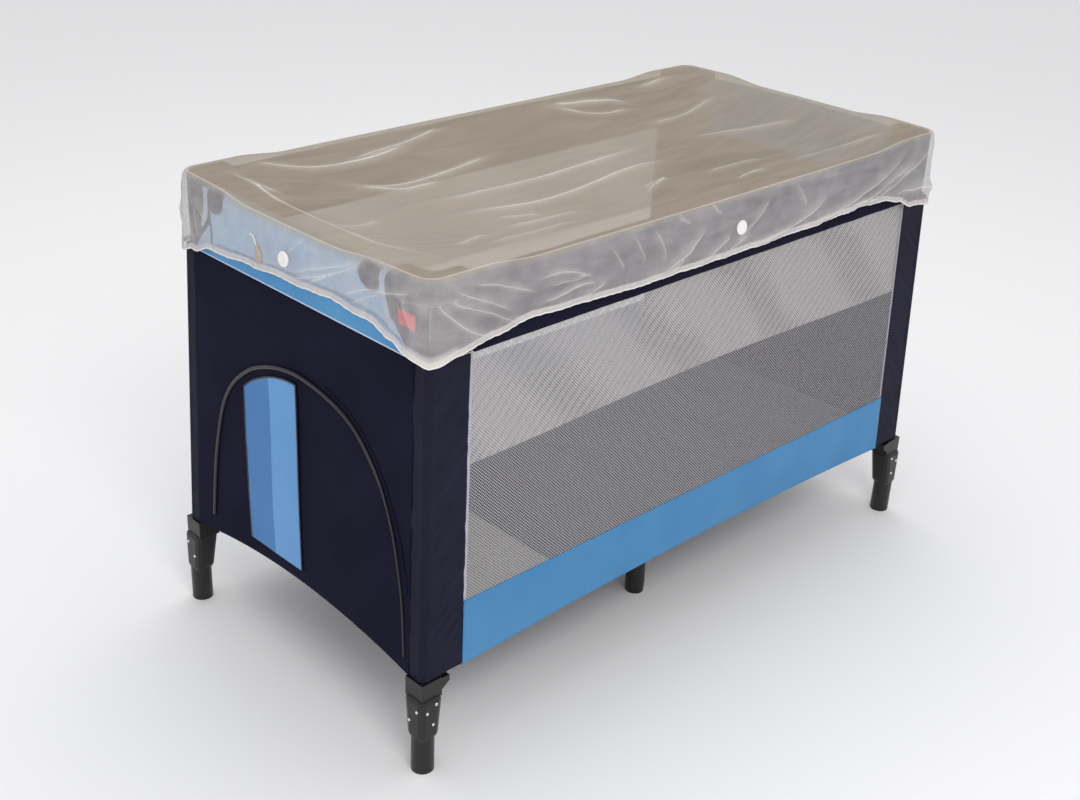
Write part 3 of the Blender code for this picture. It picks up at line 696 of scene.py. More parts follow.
# %% Post sleeves with their flaps
def post_sleeve(name, sx, sy, seed):
    """A sleeve round the square post and the flap beside it, with slanting wrinkles on the flap."""
    size = POST_SIZE
    corner = [
        (POST_RADIUS * (1 - math.cos(angle)), POST_RADIUS * (1 - math.sin(angle)))
        for angle in np.linspace(0, math.pi / 2, 9)
    ]
    outline = [(0.0, size)] + corner + [(FLAP_REACH, 0.0), (FLAP_REACH, 0.0016), (size, 0.0018)]
    outline += [(size, size)]

    def rule(u, v):
        spot = along_path(outline, v, closed=True)
        x, y = spot[:, 0], spot[:, 1]
        z = PANEL_FOOT + u * (RAIL_FOOT - 0.0003 - PANEL_FOOT)
        on_flap = smoothstep((x - 0.006) / 0.012) * (y < 0.0022)
        slant = uneven((z - 0.85 * x) * 1.0, x * 0.35, 0.013, seed)
        swell = uneven(z, x, 0.07, seed + 1)
        edge = smoothstep((u - 0.02) / 0.05) * smoothstep((0.98 - u) / 0.05)
        y = y + (0.0012 * (1 + slant) + 0.0008 * swell) * on_flap * edge
        side = (x < 0.001) & (y > 0.012)
        x = x + np.where(side, 0.0007 * (1 + uneven(z, y, 0.03, seed + 2)), 0.0)
        scallop = 0.0035 * smoothstep(x / 0.06) * (1 - u) ** 8
        return splayed(sx * (HALF_LENGTH - x), sy * (HALF_WIDTH - y), z + scallop)

    mesh = grid(name, 150, 84, rule, weld=True)
    sleeve = show(name, mesh, SLEEVE_NAVY)
    return sleeve


sleeves = {}
for end, sx in SIDES.items():
    for face, sy in FACES.items():
        key = f"{end}_{face}"
        sleeves[key] = post_sleeve("post_sleeve_" + key, sx, sy, 11 + 2 * len(sleeves))
        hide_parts("post_" + key)
print("post sleeves:", len(sleeves))

# %% [markdown]
# ## Side meshes and blue bands
#
# Each long side is a panel of open mesh, and a band of blue cloth is sewn along its lower edge.
# A second layer of mesh hangs inside the upper part of the side, and the two layers together look
# lighter and show wavy streaks where their threads run out of step.


# %% Side meshes and bands
def side_sheet(name, out, low, high, half, material, depth=0.0, sway=0.0, seed=0, middle=0.0):
    """A sheet of a long side, between two edges that are given as heights along it."""

    def rule(u, v):
        x = middle + (u * 2 - 1) * half
        z = low(x) + (high(x) - low(x)) * v
        free = np.sin(math.pi * u) ** 0.5 * np.sin(math.pi * np.clip(v, 0, 1)) ** 0.5
        bulge = sway * (uneven(x, z, 0.11, seed) + 0.5 * uneven(x, z * 0.5, 0.03, seed + 1)) * free
        return splayed(x, out * (HALF_WIDTH - depth + bulge), z)

    mesh = grid(name, max(int(half / 0.0034), 4), 48, rule, facing=(0, out, 0))
    return show(name, mesh, material)


MESH_HALF = HALF_LENGTH - FLAP_REACH - 0.0003
INNER_TOP = 0.6926
SEAM_TAPE_HALF = 0.0051
sides = {}
for face, out in FACES.items():
    outer = side_sheet(
        "side_mesh_" + face,
        out,
        lambda x: np.full_like(x, BAND_TOP + 0.0003),
        lambda x: np.full_like(x, RAIL_FOOT - 0.0003),
        MESH_HALF,
        SIDE_MESH,
        depth=0.001,
        sway=0.0006,
        seed=31,
    )
    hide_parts("mesh_" + face)
    inner = side_sheet(
        "inner_mesh_" + face,
        out,
        lambda x: 0.513 + 0.010 * (1 - (x / MESH_HALF) ** 2) * np.cos(3 * x),
        lambda x: np.full_like(x, INNER_TOP),
        MESH_HALF + 0.010,
        INNER_MESH,
        depth=0.0052,
        sway=0.0012,
        seed=37,
    )
    band = side_sheet(
        "blue_band_" + face,
        out,
        lambda x: PANEL_FOOT + BAND_RISE * (1 - (x / MESH_HALF) ** 2),
        lambda x: np.full_like(x, BAND_TOP),
        MESH_HALF,
        BLUE,
        sway=0.0010,
        seed=41,
    )
    thicken(band, 0.0016)
    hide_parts("band_" + face)
    for end, beyond in (("near", -0.0010), ("far", 0.0022)):
        tape = side_sheet(
            f"side_seam_{end}_{face}",
            out,
            lambda x: np.full_like(x, BAND_TOP + 0.0003),
            lambda x: np.full_like(x, RAIL_FOOT - 0.0003),
            SEAM_TAPE_HALF,
            SEAM_TAPE,
            depth=0.0026,
            middle=SIDES[end] * (MESH_HALF + beyond),
        )
    sides[face] = (outer, inner, band)
print("side sheets:", sum(len(sheets) for sheets in sides.values()))

# %% [markdown]
# ## The end panels
#
# Both ends are plain navy cloth with an arched lower edge.


# %% End panels
PANEL_HALF = HALF_WIDTH - POST_SIZE - 0.0003


def panel_foot(y):
    """Height of an end panel's lower edge."""
    return PANEL_FOOT + PANEL_RISE * (1 - (y / PANEL_HALF) ** 2)


def end_point(out, y, z, lift):
    """A place on an end panel's outer face, or a little in front of it."""
    return splayed(out * (HALF_LENGTH + lift), y, z)


def end_panel(name, out, seed):
    """One end's navy panel, pulled a little unevenly between its sewn edges."""

    def rule(u, v):
        y = (u * 2 - 1) * PANEL_HALF
        z = panel_foot(y) + (RAIL_FOOT - 0.0006 - panel_foot(y)) * v
        free = np.sin(math.pi * u) ** 0.5 * np.sin(math.pi * np.clip(v, 0, 1)) ** 0.5
        pull = uneven(y + 0.25 * z, z * 0.3, 0.07, seed) * 0.0012 * free
        return end_point(out, y, z, pull)

    mesh = grid(name, 120, 100, rule, facing=(out, 0, 0))
    panel = thicken(show(name, mesh, NAVY), 0.0018)
    return panel


for end, out in SIDES.items():
    end_panel("end_panel_" + end, out, 51)
    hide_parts("panel_" + end)

# %% [markdown]
# ## The window and the arched piping
#
# The near end has an arched cord sewn on it and, inside the arch, an inset of two blue cloths. Each
# path below is a list of places on the panel, Y and height.

# %% The window of two blues and the arched piping
WINDOW = {
    "left": [(0.1362, 0.4968), (0.1332, 0.4187), (0.1238, 0.2965), (0.1173, 0.2235)],
    "top": [(0.1362, 0.4968), (0.1127, 0.5177), (0.0694, 0.5399), (0.0274, 0.551), (-0.0036, 0.552)],
    "tone": [(0.0694, 0.5399), (0.0632, 0.4475), (0.0596, 0.326), (0.0513, 0.2234)],
    "right": [(-0.0036, 0.552), (-0.0074, 0.4764), (-0.0120, 0.3578), (-0.0200, 0.2245)],
}
ARCH = [
    (0.228, 0.215), (0.222, 0.320), (0.2042, 0.4187), (0.1868, 0.463), (0.1635, 0.4964),
    (0.1313, 0.5246), (0.103, 0.543), (0.0571, 0.5607), (0.0097, 0.5698), (-0.025, 0.5696),
    (-0.0703, 0.5642), (-0.1144, 0.5535), (-0.1524, 0.5354), (-0.1845, 0.5044), (-0.2112, 0.4713),
    (-0.2299, 0.4348), (-0.2462, 0.3895), (-0.2574, 0.3375), (-0.2661, 0.2912), (-0.2720, 0.200),
]  # fmt: skip
OUTER_SEAM = [
    (-0.0758, 0.5760), (-0.1253, 0.5620), (-0.1660, 0.5390), (-0.1980, 0.5060), (-0.2220, 0.4720),
    (-0.2410, 0.4340), (-0.2560, 0.4006), (-0.2680, 0.3550), (-0.2755, 0.3100),
]  # fmt: skip


def window_patch(name, left, right, lift, material):
    """A piece of the window between two upright edges, given as paths from top to foot."""

    def rule(u, v):
        a = along_path(rounded(WINDOW[left]), 1 - v)
        b = along_path(rounded(WINDOW[right]), 1 - v)
        y = a[:, 0] * (1 - u) + b[:, 0] * u
        z = a[:, 1] * (1 - u) + b[:, 1] * u
        arch = rounded(WINDOW["top"])[::-1]
        bow = np.interp(y, arch[:, 0], arch[:, 1]) - (
            WINDOW[left][0][1] * (1 - u) + WINDOW[right][0][1] * u
        )
        z = z + bow * smoothstep((v - 0.8) / 0.2)
        wrinkle = 0.0005 * uneven(y * 0.8 + z * 0.9, z * 0.3, 0.03, 61)
        return end_point(-1, y, z, lift + wrinkle)

    mesh = grid(name, 36, 90, rule, facing=(-1, 0, 0))
    patch = thicken(show(name, mesh, material), 0.0008)
    return patch


window = [
    window_patch("window_dark_blue", "left", "tone", 0.0030, WINDOW_DARK),
    window_patch("window_light_blue", "tone", "right", 0.0030, WINDOW_LIGHT),
]


def on_panel(points, lift):
    """A path on the near end panel from a path of its Y and Z."""
    return np.stack(end_point(-1, points[:, 0], points[:, 1], lift), axis=1)


def piping_radius(share):
    """The arched cord, drawn thinner down its far side where it sinks into its seam."""
    return 0.0038 - 0.0018 * smoothstep((share - 0.55) / 0.3)


outline = np.vstack([WINDOW["left"][::-1], rounded(WINDOW["top"])[1:-1], WINDOW["right"]])
trims = [
    ("arch_piping", on_panel(rounded(ARCH), 0.0026), piping_radius, PIPING),
    ("arch_seam", on_panel(rounded(OUTER_SEAM), 0.0014), 0.0016, NAVY),
    ("window_edge", on_panel(rounded(outline, 1), 0.0028), 0.0017, PIPING),
]
trim_pieces = []
for name, path, radius, material in trims:
    mesh = tube(name, path, radius, sides=10, steps=260, up=(-1.0, 0.0, 0.0), flatten=0.7)
    trim_pieces.append(show(name, mesh, material))
print("near end:", len(window), "patches and", len(trim_pieces), "trims")

# %% [markdown]
# ## Floor cloth and mattress
#
# The mattress folds in four across the cot, so it is made as four padded sections side by side. The
# first section is drawn in a paler grey, which is painted light falling on it.

# %% Floor cloth and folding mattress
low_corner, high_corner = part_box("floor")
FLOOR_REACH = 0.6345
FLOOR_TURN = 0.603
FLOOR_THICK = 0.0035


def floor_rule(u, v):
    """The floor cloth, narrowed between the posts and turned up where it meets the end panels."""
    x = (u * 2 - 1) * FLOOR_REACH
    past = smoothstep((np.abs(x) - 0.588) / 0.012)
    y = (v * 2 - 1) * (high_corner[1] - 0.034 * past)
    turn_up = 0.013 * smoothstep((np.abs(x) - FLOOR_TURN) / (FLOOR_REACH - FLOOR_TURN))
    return x, y, high_corner[2] - 0.0004 - 0.0006 * (1 + uneven(x, y, 0.09, 71)) + turn_up


floor_mesh = grid("floor_cloth", 120, 50, floor_rule, facing=(0, 0, 1))
floor_cloth = thicken(show("floor_cloth", floor_mesh, NAVY), FLOOR_THICK)
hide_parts("floor")
PAD_LOW, PAD_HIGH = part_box("mattress")
FOLDS = [PAD_LOW[0], -0.285, 0.0, 0.300, PAD_HIGH[0]]


def mattress_section(name, x0, x1, material, seed):
    """One padded section: a cube cut into cells, crowned above and drawn in at its seams."""
    bm = bmesh.new()
    bmesh.ops.create_cube(bm, size=2.0)
    bmesh.ops.subdivide_edges(bm, edges=bm.edges, cuts=35, use_grid_fill=True)
    mesh = bpy.data.meshes.new(name)
    bm.to_mesh(mesh)
    bm.free()
    x, y, z = coordinates(mesh).T
    low = np.array([x0 + 0.0006, PAD_LOW[1], PAD_LOW[2]])
    high = np.array([x1 - 0.0006, PAD_HIGH[1], PAD_HIGH[2]])
    edge = np.maximum(np.abs(x) ** 14, np.abs(y) ** 20)
    plan_x = x * (1 - 0.012 * z * z)
    plan_y = y * (1 - 0.006 * z * z)
    puckers = uneven(x * 0.15, y * 0.3, 0.02, seed) * 0.0010
    puckers = puckers + uneven(x * 0.15, y * 0.3, 0.07, seed) * 0.0014
    rise = z * (1 - 0.55 * edge) * (1 - 0.10 * (z > 0)) + (z > 0) * puckers / 0.011
    centre, half = (low + high) / 2, (high - low) / 2
    placed = np.stack(
        [centre[0] + plan_x * half[0], centre[1] + plan_y * half[1], centre[2] + rise * half[2]], axis=1
    )
    placed[:, 2] = np.clip(placed[:, 2], PAD_LOW[2], PAD_HIGH[2] + 0.001)
    set_coordinates(mesh, placed)
    return show(name, mesh, material)


mattress = []
for i, (x0, x1) in enumerate(zip(FOLDS, FOLDS[1:])):
    # The first section's paler grey is painted light.
    finish = MATTRESS_PAINTED_LIGHT if i == 0 else MATTRESS_CLOTH
    section = mattress_section(f"mattress_section_{i + 1}", x0, x1, finish, 81 + i)
    mattress.append(section)
    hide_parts("mattress")
print("mattress sections:", len(mattress))

# %% [markdown]
# ## The hard parts of the cot
#
# The caps, the feet and the middle legs are mouldings whose shapes the frame already holds. They keep
# their shape and get their real finish, and the rivets that pin the feet are added.

# %% Caps, feet and legs
for end in SIDES:
    for face in FACES:
        NODES[f"cap_{end}_{face}"].material_slots[0].material = GREY_CAP
        NODES[f"foot_{end}_{face}"].material_slots[0].material = BLACK
for face in FACES:
    NODES["leg_mid_" + face].material_slots[0].material = BLACK


def dome(name, profile, place, steps=24):
    """A turned button from its profile, spun round +Z and laid in its place."""
    bm = bmesh.new()
    points = [bm.verts.new((r, 0.0, z)) for r, z in profile]
    edges = [bm.edges.new(pair) for pair in zip(points, points[1:])]
    bmesh.ops.spin(
        bm,
        geom=points + edges,
        cent=(0, 0, 0),
        axis=(0, 0, 1),
        angle=2 * math.pi,
        steps=steps,
        use_merge=True,
    )
    bmesh.ops.remove_doubles(bm, verts=bm.verts, dist=0.000005)
    bmesh.ops.transform(bm, matrix=place, verts=bm.verts)
    bmesh.ops.recalc_face_normals(bm, faces=bm.faces)
    mesh = bpy.data.meshes.new(name)
    bm.to_mesh(mesh)
    bm.free()
    return mesh


def facing_matrix(point, normal):
    """The turn and move that lay +Z along a normal at a point."""
    turn = Vector((0, 0, 1)).rotation_difference(Vector(normal)).to_matrix().to_4x4()
    return Matrix.Translation(Vector(point)) @ turn


RIVET = [(0.0, 0.0016), (0.0012, 0.0015), (0.0024, 0.0009), (0.003, 0.0), (0.003, -0.001), (0.0, -0.001)]
RIVET_PLACES = [
    # the face of the foot that it is on, how far in from the corner, height
    ("side", 0.012, 0.118),
    ("side", 0.030, 0.128),
    ("side", 0.024, 0.092),
    ("end", 0.012, 0.120),
    ("end", 0.030, 0.096),
]
rivets = []
for end, sx in SIDES.items():
    for face, sy in FACES.items():
        low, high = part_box(f"foot_{end}_{face}")
        outer_x = low[0] if sx < 0 else high[0]
        outer_y = low[1] if sy < 0 else high[1]
        for k, (where, inset, z) in enumerate(RIVET_PLACES):
            if where == "side":
                place = facing_matrix((outer_x - sx * inset, outer_y, z), (0, sy, 0))
            else:
                place = facing_matrix((outer_x, outer_y - sy * inset, z), (sx, 0, 0))
            name = f"foot_rivet_{end}_{face}_{k + 1}"
            rivets.append(show(name, dome(name, RIVET, place, 16), STEEL))
print("rivets:", len(rivets))

# %% [markdown]
# ## The net
#
# The net is one cloth. The top is a fine grid that lies on the rim and sags between the rails, and the
# border of that grid is drawn out and down, ring by ring, as the skirt. The last rings turn inwards
# and up again as the hem. Its creases are lines laid where the photo shows them, each with
# its own width, height and share of bunched cloth, and a soft uneven swell lies under them.

# %% Tables of the net's hem and creases
HEM = [
    # round the rim, height
    (0.0, 0.69), (0.045, 0.703), (0.11, 0.714), (0.19, 0.725), (0.28, 0.721), (0.42, 0.717),
    (0.7, 0.716), (0.86, 0.72), (0.99, 0.725), (1.07, 0.719), (1.12, 0.708), (1.17, 0.69),
    (1.25, 0.679), (1.34, 0.703), (1.45, 0.723), (1.6, 0.729), (1.74, 0.716), (1.83, 0.7),
    (1.89, 0.687), (2.0, 0.709), (2.25, 0.722), (2.55, 0.715), (2.85, 0.723), (3.03, 0.706),
    (3.14, 0.684), (3.195, 0.698), (3.25, 0.716), (3.37, 0.726), (3.44, 0.731), (3.57, 0.737),
    (3.65, 0.731), (3.7, 0.716), (3.73, 0.702), (ROUND_THE_RIM, 0.69),
]  # fmt: skip

TOP_CREASES = [
    # half width, height, share of bunched cloth, points in plan
    (0.01, 0.006, 0.55, [(-0.39, 0.22), (-0.278, 0.236), (-0.197, 0.245),
        (-0.092, 0.278), (0.013, 0.3)]),
    (0.01, 0.006, 0.5, [(-0.413, 0.19), (-0.364, 0.139), (-0.294, 0.126),
        (-0.19, 0.139), (-0.052, 0.168)]),
    (0.009, 0.0065, 0.55, [(-0.345, 0.064), (-0.276, 0.051), (-0.174, 0.046),
        (-0.063, 0.046), (0.115, 0.057), (0.248, 0.073)]),
    (0.009, 0.0065, 0.6, [(-0.352, -0.003), (-0.28, -0.013), (-0.219, -0.037), (-0.143, -0.047),
        (-0.025, -0.031), (0.12, -0.009), (0.253, -0.005)]),
    (0.008, 0.005, 0.5, [(-0.315, -0.108), (-0.278, -0.122), (-0.209, -0.132), (-0.133, -0.137)]),
    (0.008, 0.0045, 0.45, [(0.007, -0.134), (0.11, -0.096)]),
    (0.009, 0.005, 0.45, [(-0.42, -0.192), (-0.331, -0.19), (-0.257, -0.186), (-0.198, -0.196)]),
    (0.01, 0.007, 0.7, [(0.165, 0.31), (0.155, 0.29), (0.202, 0.255), (0.265, 0.252), (0.357, 0.21)]),
    (0.008, 0.005, 0.45, [(0.152, 0.269), (0.234, 0.202), (0.34, 0.2)]),
    (0.011, 0.0075, 0.7, [(0.38, 0.31), (0.395, 0.285), (0.441, 0.261), (0.509, 0.27), (0.6, 0.305)]),
    (0.008, 0.005, 0.5, [(0.468, 0.312), (0.464, 0.285), (0.441, 0.261)]),
    (0.008, 0.004, 0.45, [(-0.467, -0.16), (-0.447, -0.175), (-0.384, -0.132), (-0.336, -0.127)]),
    (0.006, 0.0035, 0.5, [(-0.266, -0.055), (-0.231, -0.077), (-0.193, -0.092)]),
    (0.008, 0.0045, 0.45, [(0.166, -0.127), (0.238, -0.127), (0.327, -0.146)]),
    (0.008, 0.0045, 0.45, [(0.018, -0.111), (0.121, -0.094)]),
    (0.008, 0.0045, 0.5, [(0.11, -0.247), (0.192, -0.211), (0.246, -0.214)]),
    (0.01, 0.0055, 0.55, [(-0.556, 0.3), (-0.499, 0.265), (-0.442, 0.235),
        (-0.392, 0.223), (-0.3, 0.217), (-0.175, 0.245)]),
    (0.006, 0.003, 0.6, [(-0.56, 0.29), (-0.566, 0.133), (-0.567, -0.011),
        (-0.561, -0.176), (-0.54, -0.27)]),
    (0.009, 0.0045, 0.45, [(-0.577, 0.287), (-0.558, 0.161), (-0.531, 0.13)]),
    (0.008, 0.0045, 0.5, [(-0.402, 0.159), (-0.332, 0.113), (-0.274, 0.112), (-0.221, 0.122)]),
    (0.012, 0.0045, 0.35, [(0.33, 0.06), (0.45, 0.01), (0.545, -0.06)]),
    (0.01, 0.0045, 0.35, [(0.28, -0.205), (0.42, -0.232), (0.545, -0.262)]),
    (0.01, 0.0045, 0.35, [(-0.575, -0.02), (-0.5, -0.005), (-0.43, 0.03)]),
    (0.01, 0.004, 0.35, [(0.3, 0.14), (0.42, 0.13), (0.54, 0.15)]),
]  # fmt: skip

SKIRT_CREASES = [
    # half width, height, share of bunched cloth, points as distance round the rim and share of the fall
    (0.006, 0.005, 0.6, [(0.004, 0.1), (0.021, 0.37), (0.052, 0.64), (0.091, 0.9), (0.118, 1.0)]),
    (0.006, 0.005, 0.55, [(0.01, 0.08), (0.032, 0.3), (0.09, 0.54), (0.147, 0.88), (0.172, 1.0)]),
    (0.006, 0.0045, 0.5, [(0.02, 0.05), (0.054, 0.24), (0.114, 0.52), (0.163, 0.82)]),
    (0.006, 0.0045, 0.55, [(0.062, 0.14), (0.116, 0.25), (0.178, 0.49), (0.204, 0.64)]),
    (0.005, 0.004, 0.65, [(0.194, 0.38), (0.236, 0.31), (0.271, 0.4), (0.322, 0.64)]),
    (0.005, 0.004, 0.55, [(0.279, 0.89), (0.31, 0.83), (0.341, 0.72)]),
    (0.005, 0.0045, 0.65, [(0.192, 0.77), (0.221, 0.76), (0.256, 0.7), (0.29, 0.64), (0.327, 0.71)]),
    (0.005, 0.004, 0.5, [(0.21, 0.55), (0.245, 0.5), (0.272, 0.56), (0.3, 0.5), (0.318, 0.44)]),
    (0.005, 0.0045, 0.5, [(0.345, 0.15), (0.366, 0.45), (0.377, 0.66)]),
    (0.005, 0.0045, 0.5, [(0.395, 0.05), (0.417, 0.43), (0.424, 0.67)]),
    (0.005, 0.0045, 0.5, [(0.442, 0.07), (0.465, 0.4), (0.472, 0.78)]),
    (0.006, 0.0055, 0.65, [(0.451, 0.92), (0.499, 0.78), (0.528, 0.66), (0.536, 0.53), (0.575, 0.32)]),
    (0.005, 0.0045, 0.5, [(0.481, 0.96), (0.509, 0.8), (0.52, 0.83)]),
    (0.006, 0.005, 0.55, [(0.547, 0.97), (0.592, 0.81), (0.641, 0.51)]),
    (0.006, 0.005, 0.5, [(0.595, 0.98), (0.647, 0.85), (0.69, 0.7)]),
    (0.005, 0.004, 0.45, [(0.499, 0.03), (0.531, 0.2)]),
    (0.005, 0.004, 0.45, [(0.584, 0.02), (0.606, 0.22)]),
    (0.006, 0.005, 0.5, [(0.633, 0.92), (0.69, 0.55), (0.712, 0.3), (0.74, 0.09)]),
    (0.007, 0.006, 0.6, [(0.661, 0.98), (0.778, 0.86), (0.861, 0.66), (0.903, 0.44)]),
    (0.007, 0.0065, 0.6, [(0.805, 0.98), (0.897, 0.94), (1.0, 0.72), (1.095, 0.34), (1.16, 0.04)]),
    (0.007, 0.006, 0.55, [(0.87, 1.0), (0.988, 0.95), (1.076, 0.64), (1.199, 0.17)]),
    (0.007, 0.006, 0.55, [(0.959, 1.0), (1.068, 0.83), (1.158, 0.39), (1.245, 0.16)]),
    (0.007, 0.006, 0.6, [(1.085, 0.96), (1.142, 0.74), (1.22, 0.73), (1.284, 0.87)]),
    (0.006, 0.005, 0.45, [(0.797, 0.04), (0.82, 0.33), (0.835, 0.62)]),
    (0.006, 0.005, 0.6, [(3.465, 0.82), (3.497, 0.65), (3.559, 0.37), (3.633, 0.03)]),
    (0.006, 0.005, 0.6, [(3.45, 0.94), (3.524, 0.72), (3.601, 0.27), (3.649, 0.02)]),
    (0.006, 0.0045, 0.5, [(3.505, 0.93), (3.559, 0.55), (3.625, 0.14)]),
    (0.006, 0.0045, 0.55, [(3.579, 0.86), (3.64, 0.48), (3.694, 0.34), (3.76, 0.1)]),
    (0.005, 0.004, 0.45, [(3.608, 0.88), (3.679, 0.41)]),
    (0.005, 0.004, 0.5, [(3.457, 0.45), (3.5, 0.03)]),
    (0.005, 0.0045, 0.5, [(3.199, 0.3), (3.208, 0.6), (3.217, 0.87)]),
    (0.005, 0.0045, 0.5, [(3.158, 0.3), (3.172, 0.61), (3.206, 0.9)]),
    (0.005, 0.0045, 0.5, [(3.147, 0.34), (3.162, 0.62), (3.182, 0.9)]),
    (0.005, 0.004, 0.45, [(3.196, 0.2), (3.238, 0.59)]),
    (0.005, 0.004, 0.45, [(3.717, 0.2), (3.724, 0.45), (3.746, 0.7)]),
    (0.004, 0.001, 0.24, [(3.672, 0.36), (3.72, 0.31), (3.771, 0.3), (3.815, 0.27), (3.87, 0.24)]),
    (0.004, 0.0015, 0.34, [(0.002, 0.26), (0.003, 0.45), (0.001, 0.66), (0.004, 0.8)]),
]  # fmt: skip

HIDDEN_FOLDS = [
    # folds of the two sides away from the camera: place at the ridge and at the hem, half width, height
    (1.3, 1.345, 0.01, 0.005), (1.385, 1.372, 0.008, 0.004), (1.47, 1.45, 0.011, 0.004),
    (1.575, 1.59, 0.009, 0.004), (1.69, 1.72, 0.01, 0.0045), (1.77, 1.752, 0.008, 0.004),
    (1.85, 1.815, 0.01, 0.006), (1.905, 1.965, 0.011, 0.006), (1.985, 2.09, 0.01, 0.005),
    (2.12, 2.15, 0.009, 0.004), (2.26, 2.24, 0.01, 0.0045), (2.42, 2.44, 0.011, 0.004),
    (2.53, 2.505, 0.009, 0.004), (2.64, 2.66, 0.01, 0.0045), (2.79, 2.76, 0.01, 0.004),
    (2.96, 2.88, 0.011, 0.005), (3.08, 3.01, 0.01, 0.006), (3.12, 3.118, 0.009, 0.006),
]  # fmt: skip
STUD_PLACES = {"front": (0.052, -1.0, 0.55), "near": (-1.0, -0.008, 0.604)}
STUD_FLAT = 0.020
FAR_AWAY = 0.05
RIDGE_WHITE = 0.32
SOFT_SWELL = 0.0014
PUCKER_PITCH = 0.0175
PUCKER_DEPTH = 0.0012
HEM_FROM = 0.958
HEM_DEPTH = 0.0022
HEM_TURN_UP = 0.0095
print("creases:", len(TOP_CREASES), "on top,", len(SKIRT_CREASES) + len(HIDDEN_FOLDS), "on the skirt")


# %% The net's shape
def off_core(u, v):
    """How far a place of the rim lies outside the rectangle between the round corners' centres."""
    x = u * NET_HALF_LENGTH
    y = v * NET_HALF_WIDTH
    core_x = np.clip(x, NET_RADIUS - NET_HALF_LENGTH, NET_HALF_LENGTH - NET_RADIUS)
    core_y = np.clip(y, NET_RADIUS - NET_HALF_WIDTH, NET_HALF_WIDTH - NET_RADIUS)
    return core_x, core_y, x - core_x, y - core_y


def rim_plan(u, v):
    """Plan of the net: the unit square as a rectangle with round corners and bowed sides."""
    core_x, core_y, off_x, off_y = off_core(u, v)
    length = np.maximum(np.hypot(off_x, off_y), 1e-9)
    share = np.maximum(np.abs(off_x), np.abs(off_y)) / length
    share = np.where(length > 1e-8, share, 1.0)
    out_x = END_BOW * u * np.abs(u) ** 3 * np.maximum(1 - v * v, 0)
    out_y = SIDE_BOW * v * np.abs(v) ** 3 * np.maximum(1 - u * u, 0)
    return core_x + off_x * share + out_x, core_y + off_y * share + out_y


def outward(u, v):
    """Direction that faces away from the net at its rim."""
    _, _, off_x, off_y = off_core(u, v)
    length = np.maximum(np.hypot(off_x, off_y), 1e-9)
    return off_x / length, off_y / length


def round_rim(u, v):
    """Distance round the rim from the near front corner, by way of the front side."""
    x = (u + 1) * NET_HALF_LENGTH
    y = (v + 1) * NET_HALF_WIDTH
    length, width = 2 * NET_HALF_LENGTH, 2 * NET_HALF_WIDTH
    on_side = np.where(v < 0, x, 2 * length + width - x)
    on_end = np.where(u > 0, length + y, 2 * length + 2 * width - y)
    return np.where(np.abs(v) >= np.abs(u), on_side, on_end)


def hem_height(place):
    """Height of the hem at a distance round the rim, with its small gathers' unevenness."""
    rounds = np.array([row[0] for row in HEM])
    heights = np.array([row[1] for row in HEM])
    i = np.clip(np.searchsorted(rounds, place, side="right") - 1, 0, len(HEM) - 2)
    share = smoothstep((place - rounds[i]) / (rounds[i + 1] - rounds[i]))
    uneven_hem = 0.0012 * uneven(place, 0 * place, 0.024, 91) * smoothstep(place / 0.03)
    uneven_hem *= smoothstep((ROUND_THE_RIM - place) / 0.03)
    return heights[i] + (heights[i + 1] - heights[i]) * share + uneven_hem


def ridge_height(u, v):
    """Height of the net where it lies on the rails and the corner caps."""
    beyond = np.maximum((1 - np.abs(u)) * NET_HALF_LENGTH, (1 - np.abs(v)) * NET_HALF_WIDTH)
    share = smoothstep((beyond - CAP_TO_RAIL_START) / CAP_TO_RAIL_RUN)
    return NET_ON_CAP + (NET_ON_RAIL - NET_ON_CAP) * share


def flat_round_studs(place):
    """0 where a stud is, and 1 away from it."""
    kept = np.ones_like(place)
    for u, v, _ in STUD_PLACES.values():
        away = np.abs(place - round_rim(np.float64(u), np.float64(v)))
        kept *= smoothstep((away - STUD_FLAT) / 0.02)
    return kept


def skirt_creases(place, fall):
    """Push outwards and values of the skirt from its creases and its hidden sides' folds."""
    push = np.zeros_like(place)
    bunch = np.zeros_like(place)
    crease = np.zeros_like(place)
    across = np.full_like(place, FAR_AWAY)
    for half_width, height, share, points in SKIRT_CREASES:
        line = [(a, b * SKIRT_DROP) for a, b in points]
        near_seam = line[0][0] < 0.15 or line[0][0] > ROUND_THE_RIM - 0.25
        for shift in (0.0, ROUND_THE_RIM, -ROUND_THE_RIM) if near_seam else (0.0,):
            profile, signed = crease_line(place + shift, fall * SKIRT_DROP, line, half_width)
            push = np.maximum(push, height * profile)
            bunch = np.maximum(bunch, 0.28 * share * profile)
            strength = share * profile**1.8
            stronger = strength > crease
            crease = np.where(stronger, strength, crease)
            across = np.where(stronger, signed, across)
    for at_ridge, at_hem, half_width, height in HIDDEN_FOLDS:
        away = place - (at_ridge + (at_hem - at_ridge) * fall)
        away = away - ROUND_THE_RIM * np.round(away / ROUND_THE_RIM)
        profile = np.exp(-((away / half_width) ** 2)) * smoothstep(fall / 0.3)
        push = np.maximum(push, height * profile)
        bunch = np.maximum(bunch, 0.15 * profile)
        stronger = 0.5 * profile > crease
        crease = np.where(stronger, 0.5 * profile, crease)
        across = np.where(stronger, away, across)
    return push, bunch, crease, across


